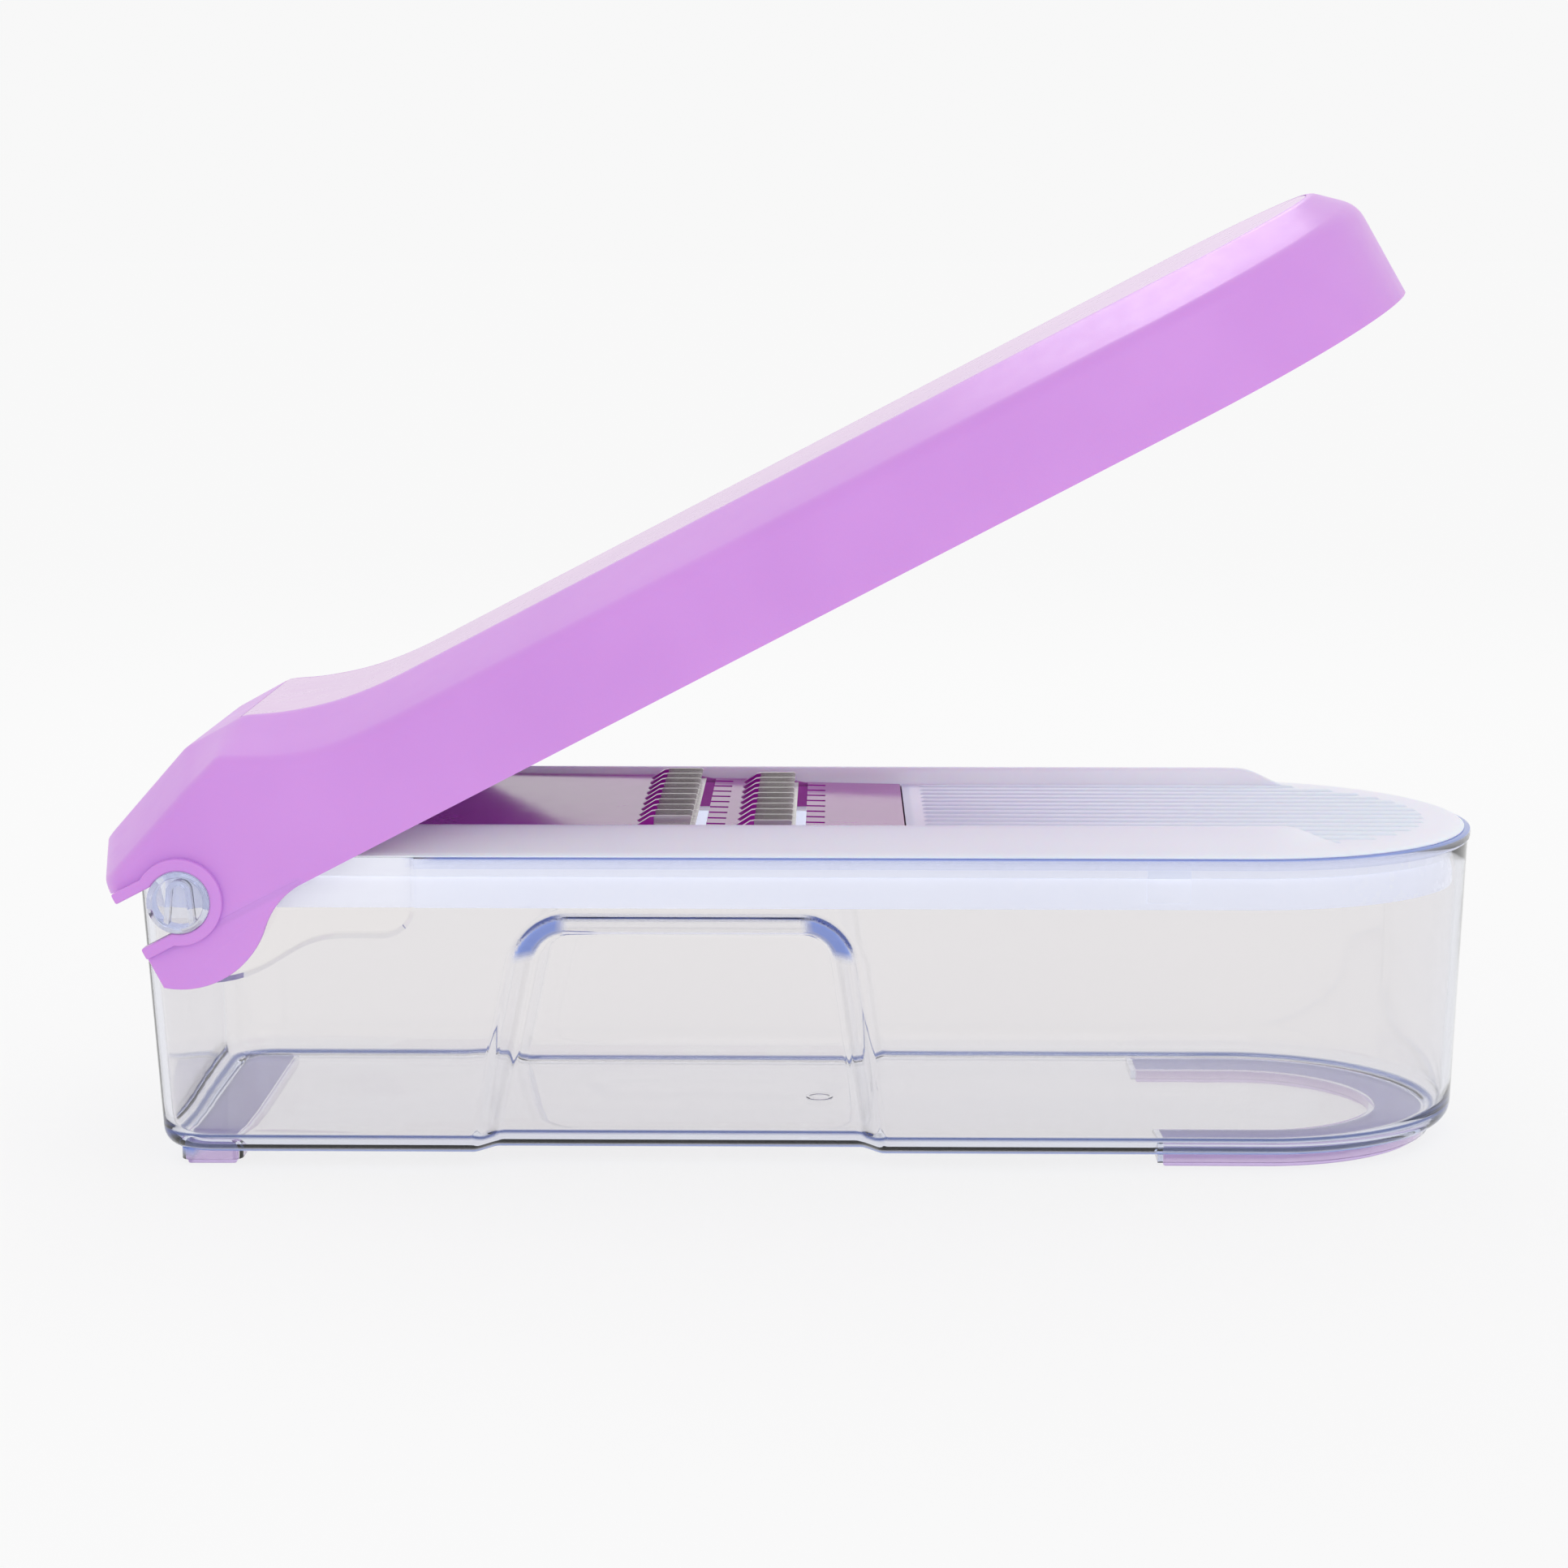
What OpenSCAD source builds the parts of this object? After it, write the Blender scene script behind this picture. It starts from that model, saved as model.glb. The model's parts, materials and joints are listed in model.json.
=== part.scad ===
// Mandoline slicer: clear container, slicing deck with a two-blade insert, and a hinged press lid.
// X runs along the length, from the hinge to the round front end. Y = 0 is the plane of symmetry.
// Z = 0 is the surface that the feet stand on, and X = 0 is the middle of the box at rest.

/* [Container] */
// Length of the container at the rim
container_l = 280; // [270:1:300]
// Width of the container at the rim
container_w = 100; // [98:0.5:101]
// Height of the rim above the table
rim_z = 66.7; // [60:0.1:70]
// Thickness of the clear wall
wall = 2; // [1.6:0.1:2.4]
// Radius of the two rear corners in plan
rear_corner_r = 12; // [8:0.5:16]
// How far the long walls lean in from rim to base
side_draft = 5.5; // [3:0.1:7]

/* [Feet] */
// Height of the base above the table
base_z = 3.1; // [2.5:0.1:4]
// Width of the foot pads
foot_w = 10.4; // [8:0.1:12]

/* [Slicing deck] */
// Height of the rail crests
crest_z = 72; // [71:0.1:72]
// Height of the ribbed landing
landing_z = 68; // [67.8:0.1:68.4]
// Depth of the skirt below the rim
skirt_drop = 10.8; // [8:0.1:10.8]
// Spacing of the ribs on the landing
rib_pitch = 5.2; // [4:0.1:8]

/* [Blade insert] */
// Length of the insert
insert_l = 126; // [120:1:128]
// Spacing of the comb fins and of the press pegs
fin_pitch = 7.2; // [5.6:0.1:7.2]
// Number of fins on a comb
fin_count = 10; // [6:2:10]
// Thickness of a fin
fin_t = 0.6; // [0.4:0.1:0.8]

/* [Lid] */
// Width of the lid at its lower edge
lid_w = 108; // [108:0.5:110]
// Length of the lid in front of the hinge
lid_reach = 279; // [276:1:282]
// Thickness of the lid wall
lid_wall = 1.6; // [1.4:0.1:1.8]
// Opening angle at rest
open_deg = 27.5; // [0:0.5:60]

/* [Hinge] */
// Radius of the hinge boss
boss_r = 6.35; // [5.5:0.05:7]
// Running clearance of the clip on the boss
clip_gap = 0.05; // [0.02:0.01:0.1]

/* [Hidden] */
$fn = 64;
eps = 0.01;

// Hinge line, measured from the container's rear wall and the table.
pivot_x = 11.5;
pivot_z = 58.3;
lid_rear = -13.3;
top_inset = 0.4;

// Container heights and half widths.
rim_hw = container_w / 2;
base_hw = rim_hw - side_draft;
rear_lean = 0.045;
front_lean = 0.035;
lean = atan(side_draft / (rim_z - base_z));
floor_z = base_z + wall;
bead_h = 1.8;
bead_out = 0.5;

// Hinge recess and grip recess in the long walls, as heights above the base along the wall.
recess_depth = 0.8;
recess_x = 58.5;
recess_h = 46.8;
recess_r = 7;
recess_curve = [[13, 37], [25, 38.6], [32, 42.4], [38, 45.6], [46, 46.9]];
grip_depth = 5;
grip_base = [69, 154];
grip_top = [80, 146];
grip_h = 50.6;
grip_r = 9;

// Hollow of the hinge boss and the bridge in it, measured from the hinge line.
boss_wall = 1.3;
boss_pocket = 3.5;
bridge_inset = 0.8;
bridge_hw = 3;
bridge_t = 1;
bridge_low = -4.4;
bridge_top = 3.6;

// Feet.
channel_wall = 1.2;
channel_drop = 2;
foot_inset = 6;
rear_foot_x = 8.9;
foot_half_l = 39.2;
front_foot_x = 212;

// Deck.
deck_hw = rim_hw - 0.8;
deck_x0 = 0.6;
deck_x1 = container_l - 1.4;
rail_in = 38.6;
rail_end = [234.7, 248.2];
skirt_hw = 46.4;
skirt_t = 1.8;
band_hw = 47.2;
band_h = 4.2;
pad_x = 207;
pad_l = 8.8;
pad_z = 57.3;
pad_out = 0.2;
ledge_w = 1.6;
ledge_z = 62.4;
window_hw = 37.3;
window_x0 = 32;
window_x1 = window_x0 + insert_l + 0.8;
rib_w = 2.2;
rib_h = 0.45;
rib_x0 = window_x1 + 4;
front_border = 8.5;
rear_plate_z = 71;

// Insert: three platforms, each a step lower towards the landing.
insert_x0 = window_x0 + 0.4;
insert_x1 = insert_x0 + insert_l;
insert_hw = window_hw - 0.4;
insert_wall = 2;
plate_t = 1.6;
rear_comb_x = [106.3, 114.2];
front_comb_x = [127, 135];
throat = 2.6;
slot_l = 4;
slot_w = 1.8;
rear_comb_top = 72.7;
front_comb_top = 71.8;
platform_z = [71.2, 70.5, 69.8, 69.6, 68.9, 68.5];
support_l = 3.8;
comb_base_t = 0.5;
blade_t = 0.9;

// Lid, in its own frame: u forward from the hinge line, v up, closed position level.
lid_hw = lid_w / 2;
crease_in = 1;
lower_v = -8.2;
rear_lower_v = 7.4;
top_hw = 31.4;
top_reach = lid_reach - 8.3;
top_v = 18.9;
crease_v = 12.4;
hump = [[-13.3, 16.5], [11.2, 26], [25, 26.3], [29, 24.6], [32, 23.3], [36.5, 21.9], [41, 20.6],
        [47, 19.6], [52, 19.1], [56, top_v], [300, top_v]];
crease = [[-13.3, 9.4], [20.5, 22], [23.5, 20.3], [27, 18.2], [30.5, 16.5], [35, 14.6], [41, 13.3],
          [47, 12.7], [56, crease_v], [300, crease_v]];
// Rearmost point of the open lid, the upper edge of its rear wall, and so the middle of the whole box.
rear_edge_u = lid_rear + top_inset;
rear_reach = pivot_x + rear_edge_u * cos(open_deg) - lookup(rear_edge_u, hump) * sin(open_deg);
middle_x = (rear_reach + container_l) / 2;
hump_stations = [11.2, 16, 20.5, 23.5, 25, 27, 29, 30.5, 32, 35, 36.5, 41, 47, 52, 56];
lid_corner_r = 7;
panel_x0 = 24;
panel_inset = 1;
panel_gap = 0.15;
arm_r = 18.1;
arm_t = 2;
bore_r = boss_r + clip_gap;
mouth_v = [-5, 5.4];
collar_r = 8.9;
collar_out = 1.1;
arm_rear_u = lid_rear + 2;
rear_cut_l = 9;
mouth_lip = [2.4, 2];
// Lip under the edge of the panel.
lip_u0 = 58;
lip_w = 1;
lip_t = 0.8;
// Hollow curve that blends each arm into the lid's lower edge: radius and centre.
blend_r = 16;
blend_v = lower_v - blend_r;
blend_u = sqrt(pow(arm_r + blend_r, 2) - blend_v * blend_v);

// Press grid.
peg_w = 4.6;
peg_v = 13.7;
plate_thick = 0.8;
plate_v = top_v - lid_wall - plate_thick - 0.02;
peg_rows = 25;
peg_columns = 9;
peg_u0 = 66;
press_hw = top_hw - 2.6;
peg_wall = 0.6;
peg_floor = 0.9;

// ---------- shared shapes ----------

module in_frame() translate([-middle_x, 0, 0]) children();

module in_lid() in_frame() translate([pivot_x, 0, pivot_z]) rotate([0, -open_deg, 0]) children();

module both_sides() {
    children();
    mirror([0, 1, 0]) children();
}

// Plan outline: straight sides, round front end and rounded rear corners.
module d_shape(x0, x1, hw, rc) {
    translate([x0 + rc, -hw]) square([x1 - x0 - rc - hw, 2 * hw]);
    translate([x0, -hw + rc]) square([rc + eps, 2 * (hw - rc)]);
    translate([x1 - hw, 0]) circle(r = hw, $fn = 128);
    both_sides() translate([x0 + rc, hw - rc]) circle(r = rc);
}

module d_slab(x0, x1, hw, rc, z0, z1) translate([0, 0, z0]) linear_extrude(z1 - z0) d_shape(x0, x1, hw, rc);

// One half of the same outline as points, from the rear edge round to the tip of the front end.
corner_steps = 6;
front_steps = 20;
function half_outline(x0, x1, hw, rc, stations) = concat(
    [for (i = [0 : corner_steps]) let (a = 90 * i / corner_steps)
        [x0 + rc - rc * cos(a), hw - rc + rc * sin(a)]],
    [for (s = stations) [s, hw]],
    [for (i = [0 : front_steps]) let (a = 90 - 90 * i / front_steps) [x1 - hw + hw * cos(a), hw * sin(a)]]);
function reversed(list) = [for (i = [len(list) - 1 : -1 : 0]) list[i]];
function full_outline(half) = concat(half,
    [for (p = reversed(half)) if (abs(p[1]) > eps) [p[0], -p[1]]]);
function at_height(outline, z) = [for (p = outline) [p[0], p[1], z]];
function on_curve(outline, curve, drop) = [for (p = outline) [p[0], p[1], lookup(p[0], curve) - drop]];

// Closed solid through a stack of rings with the same number of points. The end rings are closed by
// strips from each point to its mirror image, so they may follow a curve along the length.
module ring_solid(rings) {
    n = len(rings[0]);
    last = (len(rings) - 1) * n;
    polyhedron(
        points = [for (ring = rings) each ring],
        faces = concat(
            [for (k = [0 : len(rings) - 2]) for (i = [0 : n - 1]) let (j = (i + 1) % n)
                each [[k * n + i, k * n + j, (k + 1) * n + j], [k * n + i, (k + 1) * n + j, (k + 1) * n + i]]],
            cap_strips(0, n, false), cap_strips(last, n, true)),
        convexity = 6);
}
function cap_strips(start, n, up) = [for (i = [0 : (n - 3) / 2]) let (
        a = start + i, b = start + i + 1, c = start + n - 2 - i, d = start + n - 1 - i)
    each (b == c ? [facing([a, b, d], up)] : [facing([a, b, c], up), facing([a, c, d], up)])];
function facing(f, up) = up ? f : [f[2], f[1], f[0]];

// ---------- container ----------

function wall_hw(z) = base_hw + (z - base_z) * side_draft / (rim_z - base_z);
// Ring of the container at height z, moved in by the given amount.
function container_ring(z, inward) = at_height(full_outline(half_outline(
    (rim_z - z) * rear_lean + inward, container_l - (rim_z - z) * front_lean - inward, wall_hw(z) - inward,
    max(rear_corner_r - inward, 2), [])), z);

// Rings up the outside, from the rounded edge of the base to the rim.
outer_rings = [container_ring(base_z, 4.2), container_ring(base_z + 0.5, 2.4), container_ring(base_z + 1.5, 1.1),
               container_ring(base_z + 3, bead_out), container_ring(rim_z - bead_h - 0.5, bead_out),
               container_ring(rim_z - bead_h, 0), container_ring(rim_z, 0)];
// Rings down the inside, from the rim to the floor.
inner_rings = [container_ring(rim_z, wall), container_ring(base_z + 5, wall + 0.4),
               container_ring(floor_z + 0.6, wall + 1.8), container_ring(floor_z, wall + 3.6)];

// Puts its children on the outside of both long walls: x along, y outward, z up the leaning wall.
module on_long_walls() both_sides() translate([0, base_hw, base_z]) rotate([-lean, 0, 0]) children();

// Trapezium with rounded upper corners, in the plane of a long wall.
module grip_outline(grow) {
    hull() {
        for (x = [grip_top[0] + grip_r, grip_top[1] - grip_r])
            translate([x, grip_h - grip_r]) circle(r = grip_r + grow, $fn = 32);
        translate([grip_base[0] - grow, -6]) square([grip_base[1] - grip_base[0] + 2 * grow, 1]);
    }
}

module grip_prism(y0, y1, grow) translate([0, y1, 0]) rotate([90, 0, 0]) linear_extrude(y1 - y0)
    grip_outline(grow);

// Thin recess that clears the lid's arm: square at the front, and falling in a curve to the rear corner.
module hinge_recess() {
    round_x = recess_x - recess_r;
    translate([0, 2, 0]) rotate([90, 0, 0]) linear_extrude(2 + recess_depth + bead_out) {
        translate([-1, recess_h]) square([round_x + 1, rim_z]);
        translate([round_x - eps, recess_h + recess_r]) square([recess_r + eps, rim_z]);
        translate([round_x, recess_h + recess_r]) circle(r = recess_r);
        polygon(concat([[-1, recess_curve[4][1]], [-1, recess_curve[0][1]]], recess_curve));
    }
}

// Round boss on the long wall, hollow from outside, with an upside-down U in the hollow.
module hinge_boss() {
    boss_in = rim_hw - 2.2;
    boss_out = lid_hw + 1.4;
    difference() {
        translate([pivot_x, boss_out, pivot_z]) rotate([90, 0, 0]) cylinder(r = boss_r, h = boss_out - boss_in);
        translate([pivot_x, boss_out + 1, pivot_z]) rotate([90, 0, 0])
            cylinder(r = boss_r - boss_wall, h = boss_pocket + 1);
    }
    translate([pivot_x, boss_out - bridge_inset, pivot_z]) rotate([90, 0, 0])
        linear_extrude(boss_pocket - bridge_inset + 0.5) difference() {
            translate([-bridge_hw, bridge_low]) square([2 * bridge_hw, bridge_top - bridge_low]);
            translate([-bridge_hw + bridge_t, bridge_low - 1])
                square([2 * (bridge_hw - bridge_t), bridge_top - bridge_t - bridge_low + 1]);
        }
}

module strip_foot(grow, z0, z1) translate([rear_foot_x - grow, -foot_half_l - grow, z0])
    cube([foot_w + 2 * grow, 2 * (foot_half_l + grow), z1 - z0]);

// Half ring with short straight ends, following the round front of the base.
module arch_foot(grow, z0, z1) {
    cx = container_l - (rim_z - base_z) * front_lean - base_hw;
    outer = base_hw - foot_inset + grow;
    inner = base_hw - foot_inset - foot_w - grow;
    translate([0, 0, z0]) linear_extrude(z1 - z0) difference() {
        union() {
            translate([cx, 0]) circle(r = outer, $fn = 128);
            translate([front_foot_x - grow, -outer]) square([cx - front_foot_x + grow, 2 * outer]);
        }
        translate([cx, 0]) circle(r = inner, $fn = 128);
        translate([0, -inner]) square([cx, 2 * inner]);
        translate([cx - 2 * outer, -outer - 1]) square([2 * outer - cx + front_foot_x - grow, 2 * outer + 2]);
    }
}

module container() color([0.86, 0.88, 0.95, 0.4]) in_frame() {
    difference() {
        union() {
            ring_solid(concat(outer_rings, inner_rings));
            intersection() {
                on_long_walls() grip_prism(-grip_depth - wall, 1, wall);
                ring_solid(outer_rings);
            }
        }
        on_long_walls() grip_prism(-grip_depth, 6, 0);
        on_long_walls() hinge_recess();
    }
    both_sides() hinge_boss();
    difference() {
        strip_foot(channel_wall, base_z - channel_drop, base_z + 0.5);
        strip_foot(0, -1, base_z + 2);
    }
    difference() {
        arch_foot(channel_wall, base_z - channel_drop, base_z + 0.5);
        arch_foot(0, -1, base_z + 2);
    }
}

module rear_foot() color("mediumorchid") in_frame() strip_foot(-0.1, 0, base_z);

module front_foot() color("mediumorchid") in_frame() arch_foot(-0.1, 0, base_z);

// ---------- slicing deck ----------

function deck_ring(z, inward) = at_height(full_outline(half_outline(deck_x0 + inward, deck_x1 - inward,
    deck_hw - inward, 11 - inward, [])), z);

// Upright wall that follows the inside of the rim, outer half width hw.
module skirt_band(hw, t, z0, z1) {
    x0 = rim_hw - hw;
    difference() {
        d_slab(x0, container_l - x0, hw, 9, z0, z1);
        d_slab(x0 + t, container_l - x0 - t, hw - t, 8, z0 - 1, z1 + 1);
    }
}

// Cross section of one rail: steep inner face, narrow crest, long outer slope; hollow underneath.
module rail_section() {
    difference() {
        polygon([[rail_in, rim_z], [rail_in, landing_z], [rail_in + 0.4, crest_z - 0.9],
                 [rail_in + 0.8, crest_z - 0.2], [rail_in + 1.5, crest_z], [rail_in + 2.4, crest_z - 0.2],
                 [deck_hw - 1.4, rim_z + 1.2], [deck_hw - 0.3, rim_z + 0.4], [deck_hw - 0.3, rim_z]]);
        polygon([[rail_in + 1.5, rim_z - 1], [rail_in + 1.8, crest_z - 2.2], [rail_in + 2.6, crest_z - 2.2],
                 [skirt_hw - skirt_t - 0.2, rim_z + 0.4], [skirt_hw - skirt_t - 0.2, rim_z - 1]]);
    }
}

// Side view of a rail: rounded rear end and an S-shaped run-down at the front.
module rail_side() {
    drop = crest_z - rim_z;
    run = rail_end[1] - rail_end[0];
    polygon(concat([[6, rim_z], [6, crest_z - 1.5], [8, crest_z + 1]], [[rail_end[0], crest_z + 1]],
        [for (i = [0 : 8]) [rail_end[0] + run * i / 8, rim_z + drop * (1 + cos(180 * i / 8)) / 2]]));
}

module rails() {
    both_sides() intersection() {
        rotate([90, 0, 90]) linear_extrude(rail_end[1]) rail_section();
        translate([0, deck_hw + 1, 0]) rotate([90, 0, 0]) linear_extrude(deck_hw) rail_side();
    }
}

// Fine ribs along the landing, ending at the border of the round front.
module landing_ribs() {
    rib_r = deck_hw - front_border;
    cx = deck_x1 - deck_hw;
    for (i = [-7 : 7]) let (y = i * rib_pitch)
        translate([rib_x0, y - rib_w / 2, landing_z - eps])
            cube([cx + sqrt(rib_r * rib_r - y * y) - rib_x0, rib_w, rib_h + eps]);
}

// Low friction pads on the skirt and on its band, which hold the deck in the container.
module friction_pads() {
    both_sides() for (pad = [[skirt_hw, pad_z, rim_z - band_h], [band_hw, rim_z - band_h, rim_z - 0.2]])
        translate([pad_x, pad[0] - 0.5, pad[1]]) cube([pad_l, 0.5 + pad_out, pad[2] - pad[1]]);
}

module window_frame() {
    difference() {
        translate([window_x0 - ledge_w, -window_hw - ledge_w, ledge_z])
            cube([window_x1 - window_x0 + 2 * ledge_w, 2 * (window_hw + ledge_w), landing_z - ledge_z]);
        translate([window_x0 + ledge_w, -window_hw + ledge_w, ledge_z - 1])
            cube([window_x1 - window_x0 - 2 * ledge_w, 2 * (window_hw - ledge_w), 20]);
    }
}

module slicing_deck() color("lavender") in_frame() {
    difference() {
        union() {
            ring_solid([deck_ring(rim_z, 0), deck_ring(rim_z + 0.4, 0.1), deck_ring(landing_z - 0.3, 1.5),
                        deck_ring(landing_z, 2.2)]);
            skirt_band(skirt_hw, skirt_t, rim_z - skirt_drop, rim_z + eps);
            friction_pads();
            skirt_band(band_hw, skirt_t, rim_z - band_h, rim_z + eps);
            rails();
            translate([10, -rail_in - 0.5, landing_z - eps])
                cube([window_x0 - 10, 2 * rail_in + 1, rear_plate_z - landing_z]);
            window_frame();
            landing_ribs();
        }
        translate([window_x0, -window_hw, ledge_z + 1.2])
            cube([window_x1 - window_x0, 2 * window_hw, 20]);
    }
}

// ---------- blade insert ----------

// A shape drawn in side view, extruded across the insert between -hw and +hw.
module across(hw) translate([0, hw, 0]) rotate([90, 0, 0]) linear_extrude(2 * hw) children();

function fin_y(i) = (i - (fin_count - 1) / 2) * fin_pitch;

module insert_side_view(z0) {
    polygon([[insert_x0, z0], [insert_x1, z0], [insert_x1, platform_z[5]], [front_comb_x[1] + 2, platform_z[4]],
             [front_comb_x[1] - 2, platform_z[3]], [rear_comb_x[1] + 2, platform_z[2]],
             [rear_comb_x[1] - 2, platform_z[1]], [insert_x0, platform_z[0]]]);
}

module plate_side_view(x0, z0, x1, z1) polygon([[x0, z0 - plate_t], [x1, z1 - plate_t], [x1, z1], [x0, z0]]);

// Slanted plastic lead-out behind each fin.
module fin_supports(comb_x, z, top) {
    for (i = [0 : fin_count - 1]) translate([0, fin_y(i), 0]) across(0.9)
        polygon([[comb_x[0] - support_l, z - 0.4], [comb_x[0], z - 0.4], [comb_x[0], top - 0.1],
                 [comb_x[0] - 0.8, top - 0.2], [comb_x[0] - support_l, z + 0.1]]);
}

module finger_slots(comb_x) {
    for (i = [0 : fin_count - 1])
        translate([comb_x[1] + throat - 1, fin_y(i) - slot_w / 2, 60]) cube([slot_l + 1, slot_w, 20]);
}

// Room for a comb's base and its blade in the side walls.
module blade_pocket(comb_x, z) {
    translate([comb_x[0], -insert_hw + 1, z - comb_base_t - blade_t])
        cube([comb_x[1] - comb_x[0] + throat, 2 * (insert_hw - 1), 20]);
}

module blade_insert() color("darkorchid") in_frame() {
    seat_z = ledge_z + 1.2;
    difference() {
        union() {
            difference() {
                across(insert_hw) insert_side_view(seat_z);
                translate([insert_x0 + insert_wall, -insert_hw + insert_wall, 0])
                    cube([insert_l - 2 * insert_wall, 2 * (insert_hw - insert_wall), 100]);
            }
            across(insert_hw - 1) plate_side_view(insert_x0, platform_z[0], rear_comb_x[0], platform_z[1]);
            difference() {
                across(insert_hw - 1) plate_side_view(rear_comb_x[1] + throat, platform_z[2],
                    front_comb_x[0], platform_z[3]);
                finger_slots(rear_comb_x);
            }
            difference() {
                across(insert_hw - 1) plate_side_view(front_comb_x[1] + throat, platform_z[4],
                    insert_x1, platform_z[5]);
                finger_slots(front_comb_x);
            }
        }
        blade_pocket(rear_comb_x, platform_z[1]);
        blade_pocket(front_comb_x, platform_z[3]);
    }
    fin_supports(rear_comb_x, platform_z[1], rear_comb_top);
    fin_supports(front_comb_x, platform_z[3], front_comb_top);
}

// Folded steel strip with upright fins, each with a ground front edge.
module comb(comb_x, z, top) {
    across(insert_hw - 1) translate([comb_x[0], z - comb_base_t])
        square([comb_x[1] - comb_x[0] - 0.6, comb_base_t]);
    for (i = [0 : fin_count - 1]) translate([0, fin_y(i), 0]) across(fin_t / 2)
        polygon([[comb_x[0], z - eps], [comb_x[1] - 0.6, z - eps], [comb_x[1] - 0.1, top - 0.3],
                 [comb_x[1] - 0.5, top], [comb_x[0], top]]);
}

// Flat steel blade under the comb, ground from below to an edge that faces the landing.
module slicing_blade(comb_x, z) {
    z1 = z - comb_base_t;
    across(insert_hw - 1) polygon([[comb_x[0], z1 - blade_t], [comb_x[1] - 1.2, z1 - blade_t],
        [comb_x[1] + 0.5, z1 - 0.08], [comb_x[1] + 0.5, z1], [comb_x[0], z1]]);
}

module rear_comb() color("lightsteelblue") in_frame() comb(rear_comb_x, platform_z[1], rear_comb_top);

module front_comb() color("lightsteelblue") in_frame() comb(front_comb_x, platform_z[3], front_comb_top);

module rear_blade() color("silver") in_frame() slicing_blade(rear_comb_x, platform_z[1]);

module front_blade() color("silver") in_frame() slicing_blade(front_comb_x, platform_z[3]);

// ---------- lid ----------

// Solid under the lid's outer surface, or under its inner surface when shrunk by t.
module lid_solid(t) {
    low = full_outline(half_outline(lid_rear + t, lid_reach - t, lid_hw - t, lid_corner_r - t,
                                    hump_stations));
    mid = full_outline(half_outline(lid_rear + t, lid_reach - crease_in - t, lid_hw - crease_in - t,
                                    lid_corner_r - t, hump_stations));
    high = full_outline(half_outline(lid_rear + t + top_inset, top_reach - t / 3, top_hw - t / 3, 3,
                                     hump_stations));
    ring_solid([at_height(low, lower_v - t), on_curve(mid, crease, t * 0.9), on_curve(high, hump, t)]);
}

module lid_shell() {
    difference() {
        lid_solid(0);
        lid_solid(lid_wall);
    }
}

// Plan outline of the translucent panel, grown by the given gap.
module panel_outline(grow) panel_end(panel_x0 - grow, grow);

// Outline of the panel's round end and its sides as far back as from_u.
module panel_end(from_u, grow) {
    x1 = top_reach - 1.2 + grow;
    hw = top_hw - panel_inset + grow;
    translate([from_u, -hw]) square([x1 - hw - from_u, 2 * hw]);
    translate([x1 - hw, 0]) circle(r = hw, $fn = 96);
}

// Side view of a hinge arm: a round tab about the hinge line, blended into the lid's lower edge.
module arm_outline() {
    intersection() {
        circle(r = arm_r, $fn = 96);
        translate([arm_rear_u, -arm_r]) square([2 * arm_r, arm_r + rear_lower_v]);
    }
    difference() {
        polygon([[0, 0], [blend_u, blend_v], [blend_u, 0]]);
        translate([blend_u, blend_v]) circle(r = blend_r, $fn = 96);
    }
    square([blend_u, rear_lower_v]);
}

// Raised lip round the clip's bore and along both sides of its mouth.
module collar_outline() {
    circle(r = collar_r, $fn = 96);
    for (band = [[mouth_v[0] - mouth_lip[0], mouth_v[0]], [mouth_v[1], mouth_v[1] + mouth_lip[1]]])
        translate([arm_rear_u, band[0]]) square([-arm_rear_u, band[1] - band[0]]);
}

module lid_frame() color("plum") in_lid() {
    difference() {
        union() {
            difference() {
                lid_shell();
                // The rear wall stops above the rim; only the arms go lower.
                translate([lid_rear - 1, -lid_hw + arm_t, lower_v - 1])
                    cube([rear_cut_l, 2 * (lid_hw - arm_t), rear_lower_v - lower_v + 1]);
                translate([0, 0, 10]) linear_extrude(20) panel_outline(panel_gap);
            }
            both_sides() translate([0, lid_hw, 0]) rotate([90, 0, 0]) linear_extrude(arm_t) arm_outline();
            both_sides() translate([0, lid_hw + collar_out, 0]) rotate([90, 0, 0])
                linear_extrude(collar_out + arm_t) collar_outline();
            // Lip that carries the edge of the panel.
            translate([0, 0, top_v - lid_wall - lip_t]) linear_extrude(lip_t) difference() {
                panel_end(lip_u0, lip_w);
                panel_end(lip_u0 - eps, -lip_w);
            }
        }
        translate([0, lid_w, 0]) rotate([90, 0, 0]) cylinder(r = bore_r, h = 2 * lid_w);
        translate([lid_rear - 2, -lid_w, mouth_v[0]]) cube([-lid_rear + 2, 2 * lid_w, mouth_v[1] - mouth_v[0]]);
    }
}

module lid_panel() color([0.9, 0.84, 0.92, 0.6]) in_lid() {
    intersection() {
        lid_shell();
        translate([0, 0, 10]) linear_extrude(20) panel_outline(0);
    }
}

// Square bars of width w between heights v0 and v1, one at each peg.
module peg_field(w, v0, v1) {
    for (r = [0 : peg_rows - 1]) for (c = [0 : peg_columns - 1])
        translate([peg_u0 + r * fin_pitch - w / 2, (c - (peg_columns - 1) / 2) * fin_pitch - w / 2, v0])
            cube([w, w, v1 - v0]);
}

// Thin plate with blunt hollow pegs that pass between the fins when the lid is closed.
module press_grid() color("thistle") in_lid() {
    rows_l = (peg_rows - 1) * fin_pitch;
    difference() {
        union() {
            translate([peg_u0 - 5, -press_hw, plate_v]) cube([rows_l + 10, 2 * press_hw, plate_thick]);
            peg_field(peg_w, peg_v, plate_v + eps);
        }
        peg_field(peg_w - 2 * peg_wall, peg_v + peg_floor, plate_v + plate_thick + 1);
    }
}

container();
rear_foot();
front_foot();
slicing_deck();
blade_insert();
rear_comb();
front_comb();
rear_blade();
front_blade();
lid_frame();
lid_panel();
press_grid();
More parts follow.
